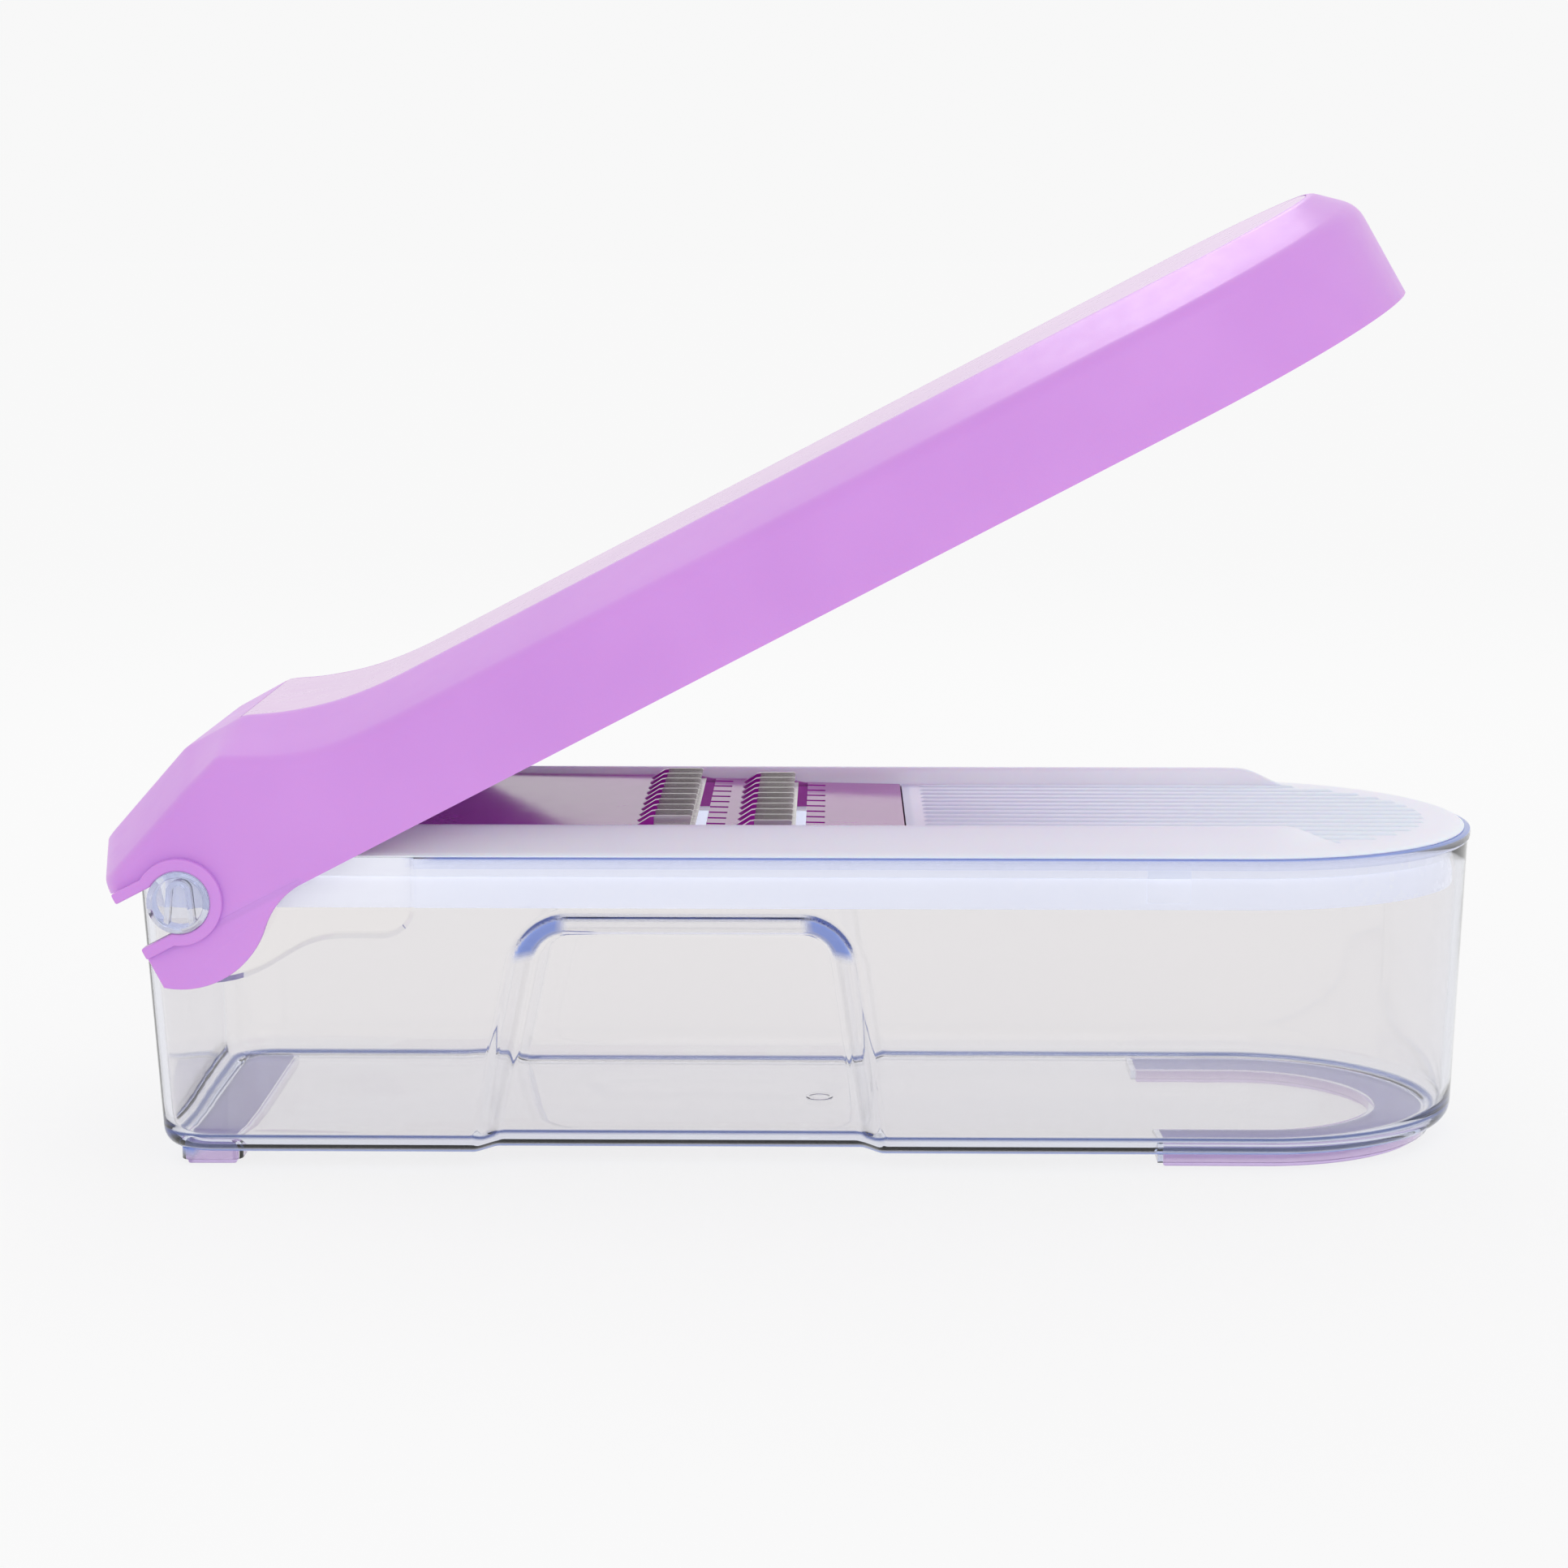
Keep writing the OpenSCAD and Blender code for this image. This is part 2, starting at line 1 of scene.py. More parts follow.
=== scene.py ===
"""Looks of the mandoline slicer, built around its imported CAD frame.

Lengths are millimetres until a piece is placed. Base pieces are drawn from the container's rear wall,
x forward and z up from the table. Lid pieces are drawn from the hinge line: u forward, v up, lid closed.
"""

import json
import math

import bmesh
import bpy
from mathutils import Matrix, Vector


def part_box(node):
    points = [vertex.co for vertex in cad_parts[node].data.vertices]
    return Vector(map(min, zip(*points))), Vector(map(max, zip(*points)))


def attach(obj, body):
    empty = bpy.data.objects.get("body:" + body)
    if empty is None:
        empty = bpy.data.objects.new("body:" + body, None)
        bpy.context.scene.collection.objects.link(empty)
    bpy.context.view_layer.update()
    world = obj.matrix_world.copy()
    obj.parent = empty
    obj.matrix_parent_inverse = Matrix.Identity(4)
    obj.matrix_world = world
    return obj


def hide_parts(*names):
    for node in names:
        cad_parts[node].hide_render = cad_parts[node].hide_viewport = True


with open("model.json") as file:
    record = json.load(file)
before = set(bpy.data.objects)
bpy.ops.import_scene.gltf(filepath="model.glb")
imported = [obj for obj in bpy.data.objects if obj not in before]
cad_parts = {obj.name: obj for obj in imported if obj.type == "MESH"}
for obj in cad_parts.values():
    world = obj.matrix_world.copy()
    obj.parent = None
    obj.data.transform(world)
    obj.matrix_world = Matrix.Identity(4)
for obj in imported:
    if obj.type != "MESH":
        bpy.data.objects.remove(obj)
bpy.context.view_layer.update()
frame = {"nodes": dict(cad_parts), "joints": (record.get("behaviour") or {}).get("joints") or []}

MM = 0.001

# ---------- places read from the frame ----------

container_low, container_high = (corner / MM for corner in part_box("container"))
deck_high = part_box("slicing_deck")[1] / MM
lid_joint = frame["joints"][0]
PIVOT = Vector(lid_joint["pos_m"])
OPEN_ANGLE = math.radians(-lid_joint["range_deg"][0])
BASE = Matrix.Translation((container_low.x * MM, 0, 0)) @ Matrix.Scale(MM, 4)
LID = Matrix.Translation(PIVOT) @ Matrix.Rotation(-OPEN_ANGLE, 4, "Y") @ Matrix.Scale(MM, 4)
PIVOT_X = PIVOT.x / MM - container_low.x
PIVOT_Z = PIVOT.z / MM

# Heights well clear of the deck, for the cutters that go through it.
ABOVE = 90
BELOW = 50

# ---------- container ----------

LENGTH = container_high.x - container_low.x
RIM_Z = container_high.z
RIM_HALF = 50.0
DRAFT = 5.5
BASE_Z = 3.1
FLOOR_Z = 5.1
WALL = 2.0
INNER_WALL = WALL + 0.4
REAR_LEAN = 0.045
FRONT_LEAN = 0.035
REAR_CORNER_R = 12.0
BEAD = 0.5
BEAD_Z = 64.6
# The bead and the rounded rim as heights and distances in from the widest outline.
RIM_OUTSIDE = [(BEAD_Z - 0.2, BEAD), (BEAD_Z, 0.3), (BEAD_Z + 0.3, 0.05), (BEAD_Z + 0.6, 0),
               (RIM_Z - 0.5, 0), (RIM_Z - 0.15, 0.15), (RIM_Z, 0.5)]
RIM_INSIDE = [(RIM_Z, WALL - 0.4), (RIM_Z - 0.15, WALL - 0.1), (RIM_Z - 0.5, WALL)]
OUTER_FILLET = 3.9
INNER_FILLET = 4.2
FLAT_MARGIN = 0.5
LEAN = math.atan(DRAFT / (RIM_Z - BASE_Z))

# Grip recess in the long walls: where its slanted sides run, its height, corners, depth and slope width.
GRIP_LEFT = (69.5, 80.0)
GRIP_RIGHT = (153.5, 146.0)
GRIP_TOP = 50.6
GRIP_R = 9.0
GRIP_DEPTH = 5.0
GRIP_SLOPE = 3.7
GRIP_INNER_SHIFT = 1.0

BOSS_R = 6.35
RECESS_DEPTH = 0.8
RECESS_X = 58.5

# ---------- feet ----------

CHANNEL_WALL = 1.2
CHANNEL_LOW = 1.1
CHANNEL_HIGH = BASE_Z + 0.4
FOOT_X = (8.9, 19.3)
FOOT_HALF = 39.2
FOOT_CORNER_R = 1.5
ARCH_X = 212.0
ARCH_CENTRE = 233.3
ARCH_OUTER = 38.5
ARCH_INNER = 28.1

# ---------- deck ----------

DECK_HALF = 49.2
DECK_X0 = 0.6
DECK_X1 = 278.6
DECK_CORNER_R = 11.0
LANDING_Z = 68.0
CREST_Z = deck_high.z
RAIL_REAR = (5.0, 9.0)
RAIL_FRONT = (234.7, 248.2)
WINDOW_X = (32.0, 158.8)
WINDOW_HALF = 37.3
SKIRT_DROP = 10.8
SKIRT_HALF = 46.4
BAND_HALF = 47.2
BAND_DROP = 4.2
PAD_X = (207.0, 215.8)
PAD_OUT = 0.2

# ---------- lid ----------

LID_REAR = -13.3
LID_REACH = 279.0
LID_HALF = 54.0
LOWER_V = -8.2
REAR_LOWER_V = 7.4
TOP_HALF = 31.4
TOP_REACH = 270.7
LID_WALL = 1.6
BORE_R = 6.4
MOUTH_REAR = -11.3
MOUTH_UPPER = 5.4
MOUTH_LOWER = -5.0
TOP_V = 18.9
CREASE_V = 12.4
HUMP = [(-13.3, 16.5), (11.2, 26), (25, 26.3), (29, 24.6), (32, 23.3), (36.5, 21.9), (41, 20.6), (47, 19.6),
        (52, 19.1), (56, TOP_V), (300, TOP_V)]
CREASE = [(-13.3, 9.4), (20.5, 22), (23.5, 20.3), (27, 18.2), (30.5, 16.5), (35, 14.6), (41, 13.3),
          (47, 12.7), (56, CREASE_V), (300, CREASE_V)]
PANEL_U0 = 24.0
PANEL_U1 = 269.5
PANEL_HALF = 30.4
PANEL_GAP = 0.15
PLATE_LOW = 16.5
PLATE_HIGH = 17.25


# ---------- curves and outlines ----------


def lookup(table, x):
    """Height of a broken line at x."""
    if x <= table[0][0]:
        return table[0][1]
    for (x0, y0), (x1, y1) in zip(table, table[1:]):
        if x <= x1:
            return y0 + (y1 - y0) * (x - x0) / (x1 - x0)
    return table[-1][1]


def rounded_lookup(table, x, reach):
    """The same line with its corners rounded over a distance of reach each way."""
    steps = 8
    return sum(lookup(table, x + reach * (2 * i / steps - 1)) for i in range(steps + 1)) / (steps + 1)


def spaced(start, end, step):
    """Evenly spaced values from start to end, both included."""
    count = max(1, round(abs(end - start) / step))
    return [start + (end - start) * i / count for i in range(count + 1)]


def arc(cx, cy, r, a0, a1, steps):
    """Points on an arc, angles in degrees."""
    turns = [math.radians(a0 + (a1 - a0) * i / steps) for i in range(steps + 1)]
    return [(cx + r * math.cos(a), cy + r * math.sin(a)) for a in turns]


def half_outline(x0, x1, half_w, corner_r, sides, corner_steps=8, front_steps=40):
    """Half of a plan outline with a round front, from the middle of the rear edge to the tip."""
    points = [(x0, 0.0)] + arc(x0 + corner_r, half_w - corner_r, corner_r, 180, 90, corner_steps)
    points += [(x, half_w) for x in sides]
    points += arc(x1 - half_w, 0, half_w, 90, 0, front_steps)
    points[-1] = (points[-1][0], 0.0)
    return points


def whole(half):
    """Closed outline from one half."""
    return half + [(p[0], -p[1], *p[2:]) for p in reversed(half[1:-1])]


# ---------- mesh building ----------


def mesh_object(name, verts, faces):
    mesh = bpy.data.meshes.new(name)
    mesh.from_pydata([tuple(v) for v in verts], [], faces)
    bm = bmesh.new()
    bm.from_mesh(mesh)
    bmesh.ops.remove_doubles(bm, verts=bm.verts, dist=1e-4)
    bmesh.ops.recalc_face_normals(bm, faces=bm.faces)
    bm.to_mesh(mesh)
    bm.free()
    obj = bpy.data.objects.new(name, mesh)
    bpy.context.scene.collection.objects.link(obj)
    return obj


def loft(rings, caps="flat", loop=False):
    """Faces between closed rings of equal length. Ends are closed flat, by strips across, or not at all."""
    count = len(rings[0])
    verts = [p for ring in rings for p in ring]
    faces = []
    pairs = list(zip(range(len(rings)), range(1, len(rings)))) + ([(len(rings) - 1, 0)] if loop else [])
    for a, b in pairs:
        for i in range(count):
            j = (i + 1) % count
            faces.append((a * count + i, a * count + j, b * count + j, b * count + i))
    if loop:
        return verts, faces
    for start in (0, (len(rings) - 1) * count):
        if caps == "flat":
            faces.append(tuple(range(start, start + count)))
        elif caps == "strips":
            for i in range(count // 2):
                quad = (start + i, start + i + 1, start + count - i - 1, start + (count - i) % count)
                faces.append(tuple(dict.fromkeys(quad)))
    return verts, faces


def prism(name, outline, y0, y1):
    """Solid between y0 and y1 with an outline in x and z."""
    return mesh_object(name, *loft([[(x, y, z) for x, z in outline] for y in (y0, y1)]))


def block(name, low, high):
    outline = [(low[0], low[2]), (high[0], low[2]), (high[0], high[2]), (low[0], high[2])]
    return prism(name, outline, low[1], high[1])


def revolve(name, profile, centre, steps=64):
    """Solid of revolution about a line along Y. The profile holds (radius, y) pairs from axis to axis."""
    rings = [[(centre[0] + r * math.cos(a), y, centre[1] + r * math.sin(a))
              for a in (2 * math.pi * i / steps for i in range(steps))] for r, y in profile]
    return mesh_object(name, *loft(rings))


def bake_modifiers(obj):
    graph = bpy.context.evaluated_depsgraph_get()
    made = bpy.data.meshes.new_from_object(obj.evaluated_get(graph))
    old = obj.data
    obj.modifiers.clear()
    obj.data = made
    bpy.data.meshes.remove(old)
    made.name = obj.name
    return obj


def combine(obj, other, operation):
    """Joins, cuts or intersects obj with other, and deletes other."""
    modifier = obj.modifiers.new("combine", "BOOLEAN")
    modifier.operation = operation
    modifier.solver = "EXACT"
    modifier.object = other
    bake_modifiers(obj)
    discard(other)
    return obj


def discard(obj):
    mesh = obj.data
    bpy.data.objects.remove(obj)
    bpy.data.meshes.remove(mesh)


def mirror_copy(obj):
    """A second object on the other side of the middle plane."""
    other = bpy.data.objects.new(obj.name + "_far", obj.data.copy())
    bpy.context.scene.collection.objects.link(other)
    other.data.transform(Matrix.Scale(-1, 4, (0, 1, 0)))
    other.data.flip_normals()
    return other


def join(obj, *others):
    """Adds the meshes of others to obj and deletes them."""
    bm = bmesh.new()
    bm.from_mesh(obj.data)
    for other in others:
        bm.from_mesh(other.data)
        discard(other)
    bm.to_mesh(obj.data)
    bm.free()
    return obj


def soften(obj, width, segments=3, angle=35):
    """Rounds every edge sharper than the angle."""
    modifier = obj.modifiers.new("bevel", "BEVEL")
    modifier.width = width
    modifier.segments = segments
    modifier.limit_method = "ANGLE"
    modifier.angle_limit = math.radians(angle)
    return bake_modifiers(obj)


def smooth(obj, angle=35):
    obj.data.shade_smooth()
    obj.data.set_sharp_from_angle(angle=math.radians(angle))


def place(obj, matrix, body, material, slot, *nodes, angle=35):
    """Moves the finished mesh into the frame, gives it its body and material, and hides the CAD nodes it
    replaces.
    """
    obj.data.transform(matrix)
    smooth(obj, angle)
    obj.data.materials.clear()
    obj.data.materials.append(material)
    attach(obj, body)
    if nodes:
        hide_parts(*nodes)
    return obj


# ---------- materials ----------

NOISE_LOW = 0.3
NOISE_HIGH = 0.7

# Sockets of a Mix node that blends colours.
MIX_FACTOR = 0
MIX_FIRST = 6
MIX_SECOND = 7
MIX_RESULT = 2


class Nodes:
    """Small helper for one node material."""

    def __init__(self, name):
        self.material = bpy.data.materials.new(name)
        self.material.use_nodes = True
        self.tree = self.material.node_tree
        self.shader = self.tree.nodes["Principled BSDF"]
        self.output = self.tree.nodes["Material Output"]
        self.coords = self.add("ShaderNodeTexCoord")

    def add(self, kind, **values):
        node = self.tree.nodes.new(kind)
        for key, value in values.items():
            setattr(node, key, value)
        return node

    def link(self, source, target):
        self.tree.links.new(source, target)

    def set(self, **values):
        for key, value in values.items():
            self.shader.inputs[key.replace("_", " ").title().replace("Ior", "IOR")].default_value = value

    def noise(self, scale, detail=3, stretch=(1, 1, 1)):
        """Noise over the piece's own coordinates, scale in bumps per metre."""
        mapping = self.add("ShaderNodeMapping")
        mapping.inputs["Scale"].default_value = stretch
        texture = self.add("ShaderNodeTexNoise")
        texture.inputs["Scale"].default_value = scale
        texture.inputs["Detail"].default_value = detail
        self.link(self.coords.outputs["Object"], mapping.inputs["Vector"])
        self.link(mapping.outputs["Vector"], texture.inputs["Vector"])
        return texture.outputs["Fac"]

    def ramp(self, fac, low, high):
        """Spreads the usual range of a noise between two numbers."""
        node = self.add("ShaderNodeMapRange")
        node.inputs["From Min"].default_value = NOISE_LOW
        node.inputs["From Max"].default_value = NOISE_HIGH
        node.inputs["To Min"].default_value = low
        node.inputs["To Max"].default_value = high
        self.link(fac, node.inputs["Value"])
        return node.outputs["Result"]

    def blend(self, factor, first, second):
        """Base colour between two, by a 0 to 1 value."""
        node = self.add("ShaderNodeMix", data_type="RGBA")
        node.inputs[MIX_FIRST].default_value = (*first, 1)
        node.inputs[MIX_SECOND].default_value = (*second, 1)
        self.link(factor, node.inputs[MIX_FACTOR])
        self.link(node.outputs[MIX_RESULT], self.shader.inputs["Base Color"])

    def bump(self, height, strength, distance):
        node = self.add("ShaderNodeBump")
        node.inputs["Strength"].default_value = strength
        node.inputs["Distance"].default_value = distance
        self.link(height, node.inputs["Height"])
        self.link(node.outputs["Normal"], self.shader.inputs["Normal"])


def moulded(name, light, dark, roughness, grain, **values):
    """Moulded plastic: faint colour drift, uneven gloss and a fine surface grain."""
    m = Nodes(name)
    m.blend(m.ramp(m.noise(35, 2), 0, 1), light, dark)
    m.link(m.ramp(m.noise(260, 4), *roughness), m.shader.inputs["Roughness"])
    grain_scale, strength, distance = grain
    m.bump(m.noise(grain_scale, 2), strength, distance)
    m.set(**values)
    return m.material


def clear_plastic():
    """Clear polymer, blue where light travels far inside it: by real absorption within, and at the edges by a
    painted blue glow. Lamps shine through it.

    A mesh attribute marks the edges that get the painted blue glow.
    """
    clear_tint, painted_edge_blue = (0.95, 0.925, 0.90), (0.10, 0.22, 0.72)
    depth_blue, shadow_tint = (0.1, 0.35, 0.95, 1), (0.95, 0.955, 0.98, 1)
    m = Nodes("clear_plastic")
    painted_glow = m.add("ShaderNodeAttribute", attribute_name="painted_glow").outputs["Fac"]
    # Painted glow: the marked edges get a blue base colour and less transmission, in place of the light that
    # gathers inside the plastic there.
    m.blend(painted_glow, clear_tint, painted_edge_blue)
    clearness = m.add("ShaderNodeMath", operation="SUBTRACT")
    clearness.inputs[0].default_value = 1
    m.link(painted_glow, clearness.inputs[1])
    m.link(clearness.outputs["Value"], m.shader.inputs["Transmission Weight"])
    m.shader.inputs["IOR"].default_value = 1.5
    m.link(m.ramp(m.noise(90, 3), 0.012, 0.035), m.shader.inputs["Roughness"])
    m.bump(m.noise(45, 2), 0.05, 0.0006)
    absorb = m.add("ShaderNodeVolumeAbsorption")
    absorb.inputs["Color"].default_value = depth_blue
    absorb.inputs["Density"].default_value = 28
    m.link(absorb.outputs["Volume"], m.output.inputs["Volume"])
    path = m.add("ShaderNodeLightPath")
    clear = m.add("ShaderNodeBsdfTransparent")
    clear.inputs["Color"].default_value = shadow_tint
    shadow_mix = m.add("ShaderNodeMixShader")
    m.link(path.outputs["Is Shadow Ray"], shadow_mix.inputs["Fac"])
    m.link(m.shader.outputs["BSDF"], shadow_mix.inputs[1])
    m.link(clear.outputs["BSDF"], shadow_mix.inputs[2])
    m.link(shadow_mix.outputs["Shader"], m.output.inputs["Surface"])
    return m.material


def brushed_steel():
    """Ground stainless steel with fine marks along the blade."""
    m = Nodes("blade_steel")
    streaks = m.noise(1200, 1, (0.04, 1, 1))
    m.blend(m.ramp(streaks, 0, 1), (0.60, 0.585, 0.575), (0.66, 0.65, 0.64))
    m.link(m.ramp(streaks, 0.24, 0.28), m.shader.inputs["Roughness"])
    m.shader.inputs["Metallic"].default_value = 1
    return m.material


# Each moulding's two colours, its least and greatest roughness and its grain: scale, strength and depth.
LOOKS = {
    "clear": clear_plastic(),
    "steel": brushed_steel(),
    "lid": moulded("lid_plastic", (0.64, 0.285, 0.775), (0.61, 0.265, 0.75), (0.28, 0.34),
                   (2600, 0.14, 0.0001), subsurface_weight=0.1, subsurface_scale=0.003),
    "panel": moulded("panel_plastic", (0.80, 0.58, 0.83), (0.77, 0.555, 0.81), (0.26, 0.34),
                     (2600, 0.08, 0.0001), alpha=0.95),
    "grid": moulded("grid_plastic", (0.74, 0.56, 0.82), (0.70, 0.53, 0.79), (0.30, 0.40),
                    (1800, 0.1, 0.0001), subsurface_weight=0.1, subsurface_scale=0.003),
    "deck": moulded("deck_plastic", (0.87, 0.895, 0.94), (0.85, 0.875, 0.93), (0.36, 0.44),
                    (900, 0.05, 0.0001), subsurface_weight=0.2, subsurface_scale=0.003),
    # The skirt is the deck plastic painted lighter and bluer, with a faint painted glow from its emission, in
    # place of the light that reaches it from below through the clear box.
    "skirt": moulded("skirt_plastic_painted_light", (0.94, 0.97, 1.0), (0.92, 0.95, 0.99), (0.22, 0.30),
                     (900, 0.05, 0.0001), emission_color=(0.74, 0.78, 1.0, 1.0), emission_strength=0.31),
    "insert": moulded("insert_plastic", (0.36, 0.02, 0.35), (0.32, 0.016, 0.31), (0.09, 0.14),
                      (700, 0.04, 0.0001), ior=1.6, specular_tint=(1.0, 0.75, 0.9, 1.0)),
    "foot": moulded("foot_rubber", (0.55, 0.37, 0.76), (0.51, 0.34, 0.73), (0.28, 0.4),
                    (1400, 0.15, 0.0002), transmission_weight=0.85, ior=1.42),
}


# ---------- container ----------


def wall_half(z):
    return RIM_HALF - DRAFT + (z - BASE_Z) * DRAFT / (RIM_Z - BASE_Z)


def grip_distance(x, h):
    """Signed distance from the edge of the grip recess, negative inside it."""
    rise = h / GRIP_TOP
    left = GRIP_LEFT[0] + (GRIP_LEFT[1] - GRIP_LEFT[0]) * rise - x
    right = x - (GRIP_RIGHT[0] + (GRIP_RIGHT[1] - GRIP_RIGHT[0]) * rise)
    side = max(left, right) + GRIP_R
    top = h - GRIP_TOP + GRIP_R
    return min(max(side, top), 0) + math.hypot(max(side, 0), max(top, 0)) - GRIP_R


def grip_depth(x, h, shift):
    """Depth of the recess, with its two edges rounded."""
    distance, reach, steps = grip_distance(x, h) - shift, 0.7, 3
    samples = [distance + reach * k / steps for k in range(-steps, steps + 1)]
    return sum(GRIP_DEPTH * min(max(-s / GRIP_SLOPE, 0), 1) for s in samples) / len(samples)


def grip_columns():
    """Columns of the long walls as pairs of x, at the base and at the top of the recess."""
    fine, medium, coarse, gap = 0.45, 0.9, 7.0, 4
    rear, front, rear_drift, front_drift = 16, 228, 6 / 50, 5 / 70
    left = spaced(-2, 6, fine)[:-1] + spaced(6, 15, medium)
    near = [(GRIP_LEFT[0] + d, GRIP_LEFT[1] + d) for d in left]
    far = [(GRIP_RIGHT[0] - d, GRIP_RIGHT[1] - d) for d in reversed(left)]
    before = [(x, x + rear_drift * (x - rear)) for x in spaced(rear, GRIP_LEFT[0] - gap, coarse)]
    middle = list(zip(spaced(near[-1][0], far[0][0], coarse), spaced(near[-1][1], far[0][1], coarse)))[1:-1]
    after = [(x, x - front_drift * (front - x)) for x in spaced(GRIP_RIGHT[0] + gap, front, coarse)]
    return before + near + middle + far + after


GRIP_COLUMNS = grip_columns()


def container_ring(z, inward, shift):
    """Ring of the container at height z, with the grip recess pressed into both long walls."""
    h = z - BASE_Z
    half_w = wall_half(z) - inward
    rise = min(max(h / GRIP_TOP, 0), 1)
    xs = [a + (b - a) * rise for a, b in GRIP_COLUMNS]
    half = half_outline((RIM_Z - z) * REAR_LEAN + inward, LENGTH - (RIM_Z - z) * FRONT_LEAN - inward,
                        half_w, max(REAR_CORNER_R - inward, 2), xs)
    return [(x, y - math.copysign(grip_depth(x, h, shift), y) if abs(abs(y) - half_w) < 1e-6 else y, z)
            for x, y in whole(half)]


def container_rows():
    """Heights between the rounded base edge and the rim, close together round the top of the recess."""
    fine, medium, coarse = 0.45, 0.9, 4.5
    first, top, last = 8, BASE_Z + GRIP_TOP, BEAD_Z - 0.4
    return (spaced(first, top - 16, coarse)[:-1] + spaced(top - 16, top - 6, medium)[:-1]
            + spaced(top - 6, top + 2, fine)[:-1] + spaced(top + 2, last, coarse))


def build_container():
    """Box lofted from the base up the outside, over the rim and down the inside to the floor."""
    rows = container_rows()
    fillet = arc(0, 0, 1, 0, 90, 7)
    outer = [(BASE_Z, BEAD + OUTER_FILLET + FLAT_MARGIN)]
    outer += [(BASE_Z + OUTER_FILLET * (1 - c), BEAD + OUTER_FILLET * (1 - s)) for c, s in fillet]
    outer += [(z, BEAD) for z in rows] + RIM_OUTSIDE
    inner = RIM_INSIDE + [(z, INNER_WALL) for z in reversed(rows[1:])]
    inner += [(FLOOR_Z + INNER_FILLET * (1 - s), INNER_WALL + INNER_FILLET * (1 - c)) for c, s in fillet]
    inner += [(FLOOR_Z, INNER_WALL + INNER_FILLET + FLAT_MARGIN)]
    rings = [container_ring(z, inward, 0) for z, inward in outer]
    rings += [container_ring(z, inward, GRIP_INNER_SHIFT) for z, inward in inner]
    body = mesh_object("clear_container", *loft(rings))
    for cutter in on_both_walls(hinge_recess()):
        combine(body, cutter, "DIFFERENCE")
    for boss in both_sides(hinge_boss()):
        combine(body, boss, "UNION")
    for channel in (strip_channel(), arch_channel()):
        combine(body, channel, "UNION")
    combine(body, gate_mark(), "UNION")
    for pocket in foot_pockets():
        combine(body, pocket, "DIFFERENCE")
    mark_painted_glow(body)
    return place(body, BASE, "base", LOOKS["clear"], "clear_plastic", "container", angle=30)


def painted_edge_glow(x, y, z):
    """How much of the painted blue glow the plastic gets at a point: at the bottom edge, the rim and the
    grip's upper corners.
    """
    rim_reach, rim_rise, most = 0.6, 0.4, 0.85
    h = z - BASE_Z
    bottom = min((h - 0.02) / 0.25, (1.4 - h) / 0.7)
    rim = (z - RIM_Z + rim_reach) / rim_rise if x > RECESS_X + 1 else 0
    rise = h / GRIP_TOP
    left = GRIP_LEFT[0] + (GRIP_LEFT[1] - GRIP_LEFT[0]) * rise + GRIP_R - x
    right = x - GRIP_RIGHT[0] - (GRIP_RIGHT[1] - GRIP_RIGHT[0]) * rise + GRIP_R
    turn = min(max(left, right), h - GRIP_TOP + GRIP_R)
    distance = grip_distance(x, h)
    corner = min(turn / 2.5, (distance + GRIP_SLOPE) / 1.2, (0.4 - distance) / 0.5)
    outside = abs(y) > wall_half(z) - GRIP_DEPTH - WALL - 0.6
    return min(max(bottom, rim, corner if outside else 0, 0), most)


def mark_painted_glow(obj):
    # Stores each vertex's share of the painted blue glow for the clear plastic's material.
    painted_glow = obj.data.attributes.new("painted_glow", "FLOAT", "POINT")
    for vertex, value in zip(obj.data.vertices, painted_glow.data):
        value.value = painted_edge_glow(*vertex.co)


def both_sides(obj):
    return obj, mirror_copy(obj)


def on_both_walls(obj):
    """Leans a shape drawn on an upright wall so that it lies on the container's long walls."""
    obj.data.transform(Matrix.Translation((0, RIM_HALF - DRAFT, BASE_Z)) @ Matrix.Rotation(-LEAN, 4, "X"))
    return both_sides(obj)


def bezier(p0, p1, p2, p3, steps):
    weights = [i / steps for i in range(steps + 1)]
    return [tuple((1 - t) ** 3 * a + 3 * (1 - t) ** 2 * t * b + 3 * (1 - t) * t * t * c + t ** 3 * d
                  for a, b, c, d in zip(p0, p1, p2, p3)) for t in weights]


def hinge_recess():
    """Shallow step that clears the lid's arm: square at the front, an S-curve down to the rear."""
    front_h, rear_h, corner, slope = 46.8, 37, 7.0, 0.9
    curve_front, curve_mid, curve_rear = 44, 31, 13
    beyond_rear, beyond_rim, beyond_wall = -8, 80, 4
    rings = []
    for y, d in ((-RECESS_DEPTH - BEAD, slope), (-BEAD, 0), (beyond_wall, 0)):
        high, low = front_h + d, rear_h + d
        outline = [(beyond_rear, beyond_rim), (RECESS_X - d, beyond_rim)]
        outline += arc(RECESS_X - corner, front_h + corner, corner - d, 0, -90, 10)
        outline += bezier((curve_front, high), (curve_mid, high), (curve_mid, low), (curve_rear, low), 16)
        outline += [(beyond_rear, low)]
        rings.append([(x, y, z) for x, z in outline])
    return mesh_object("hinge_recess", *loft(rings))


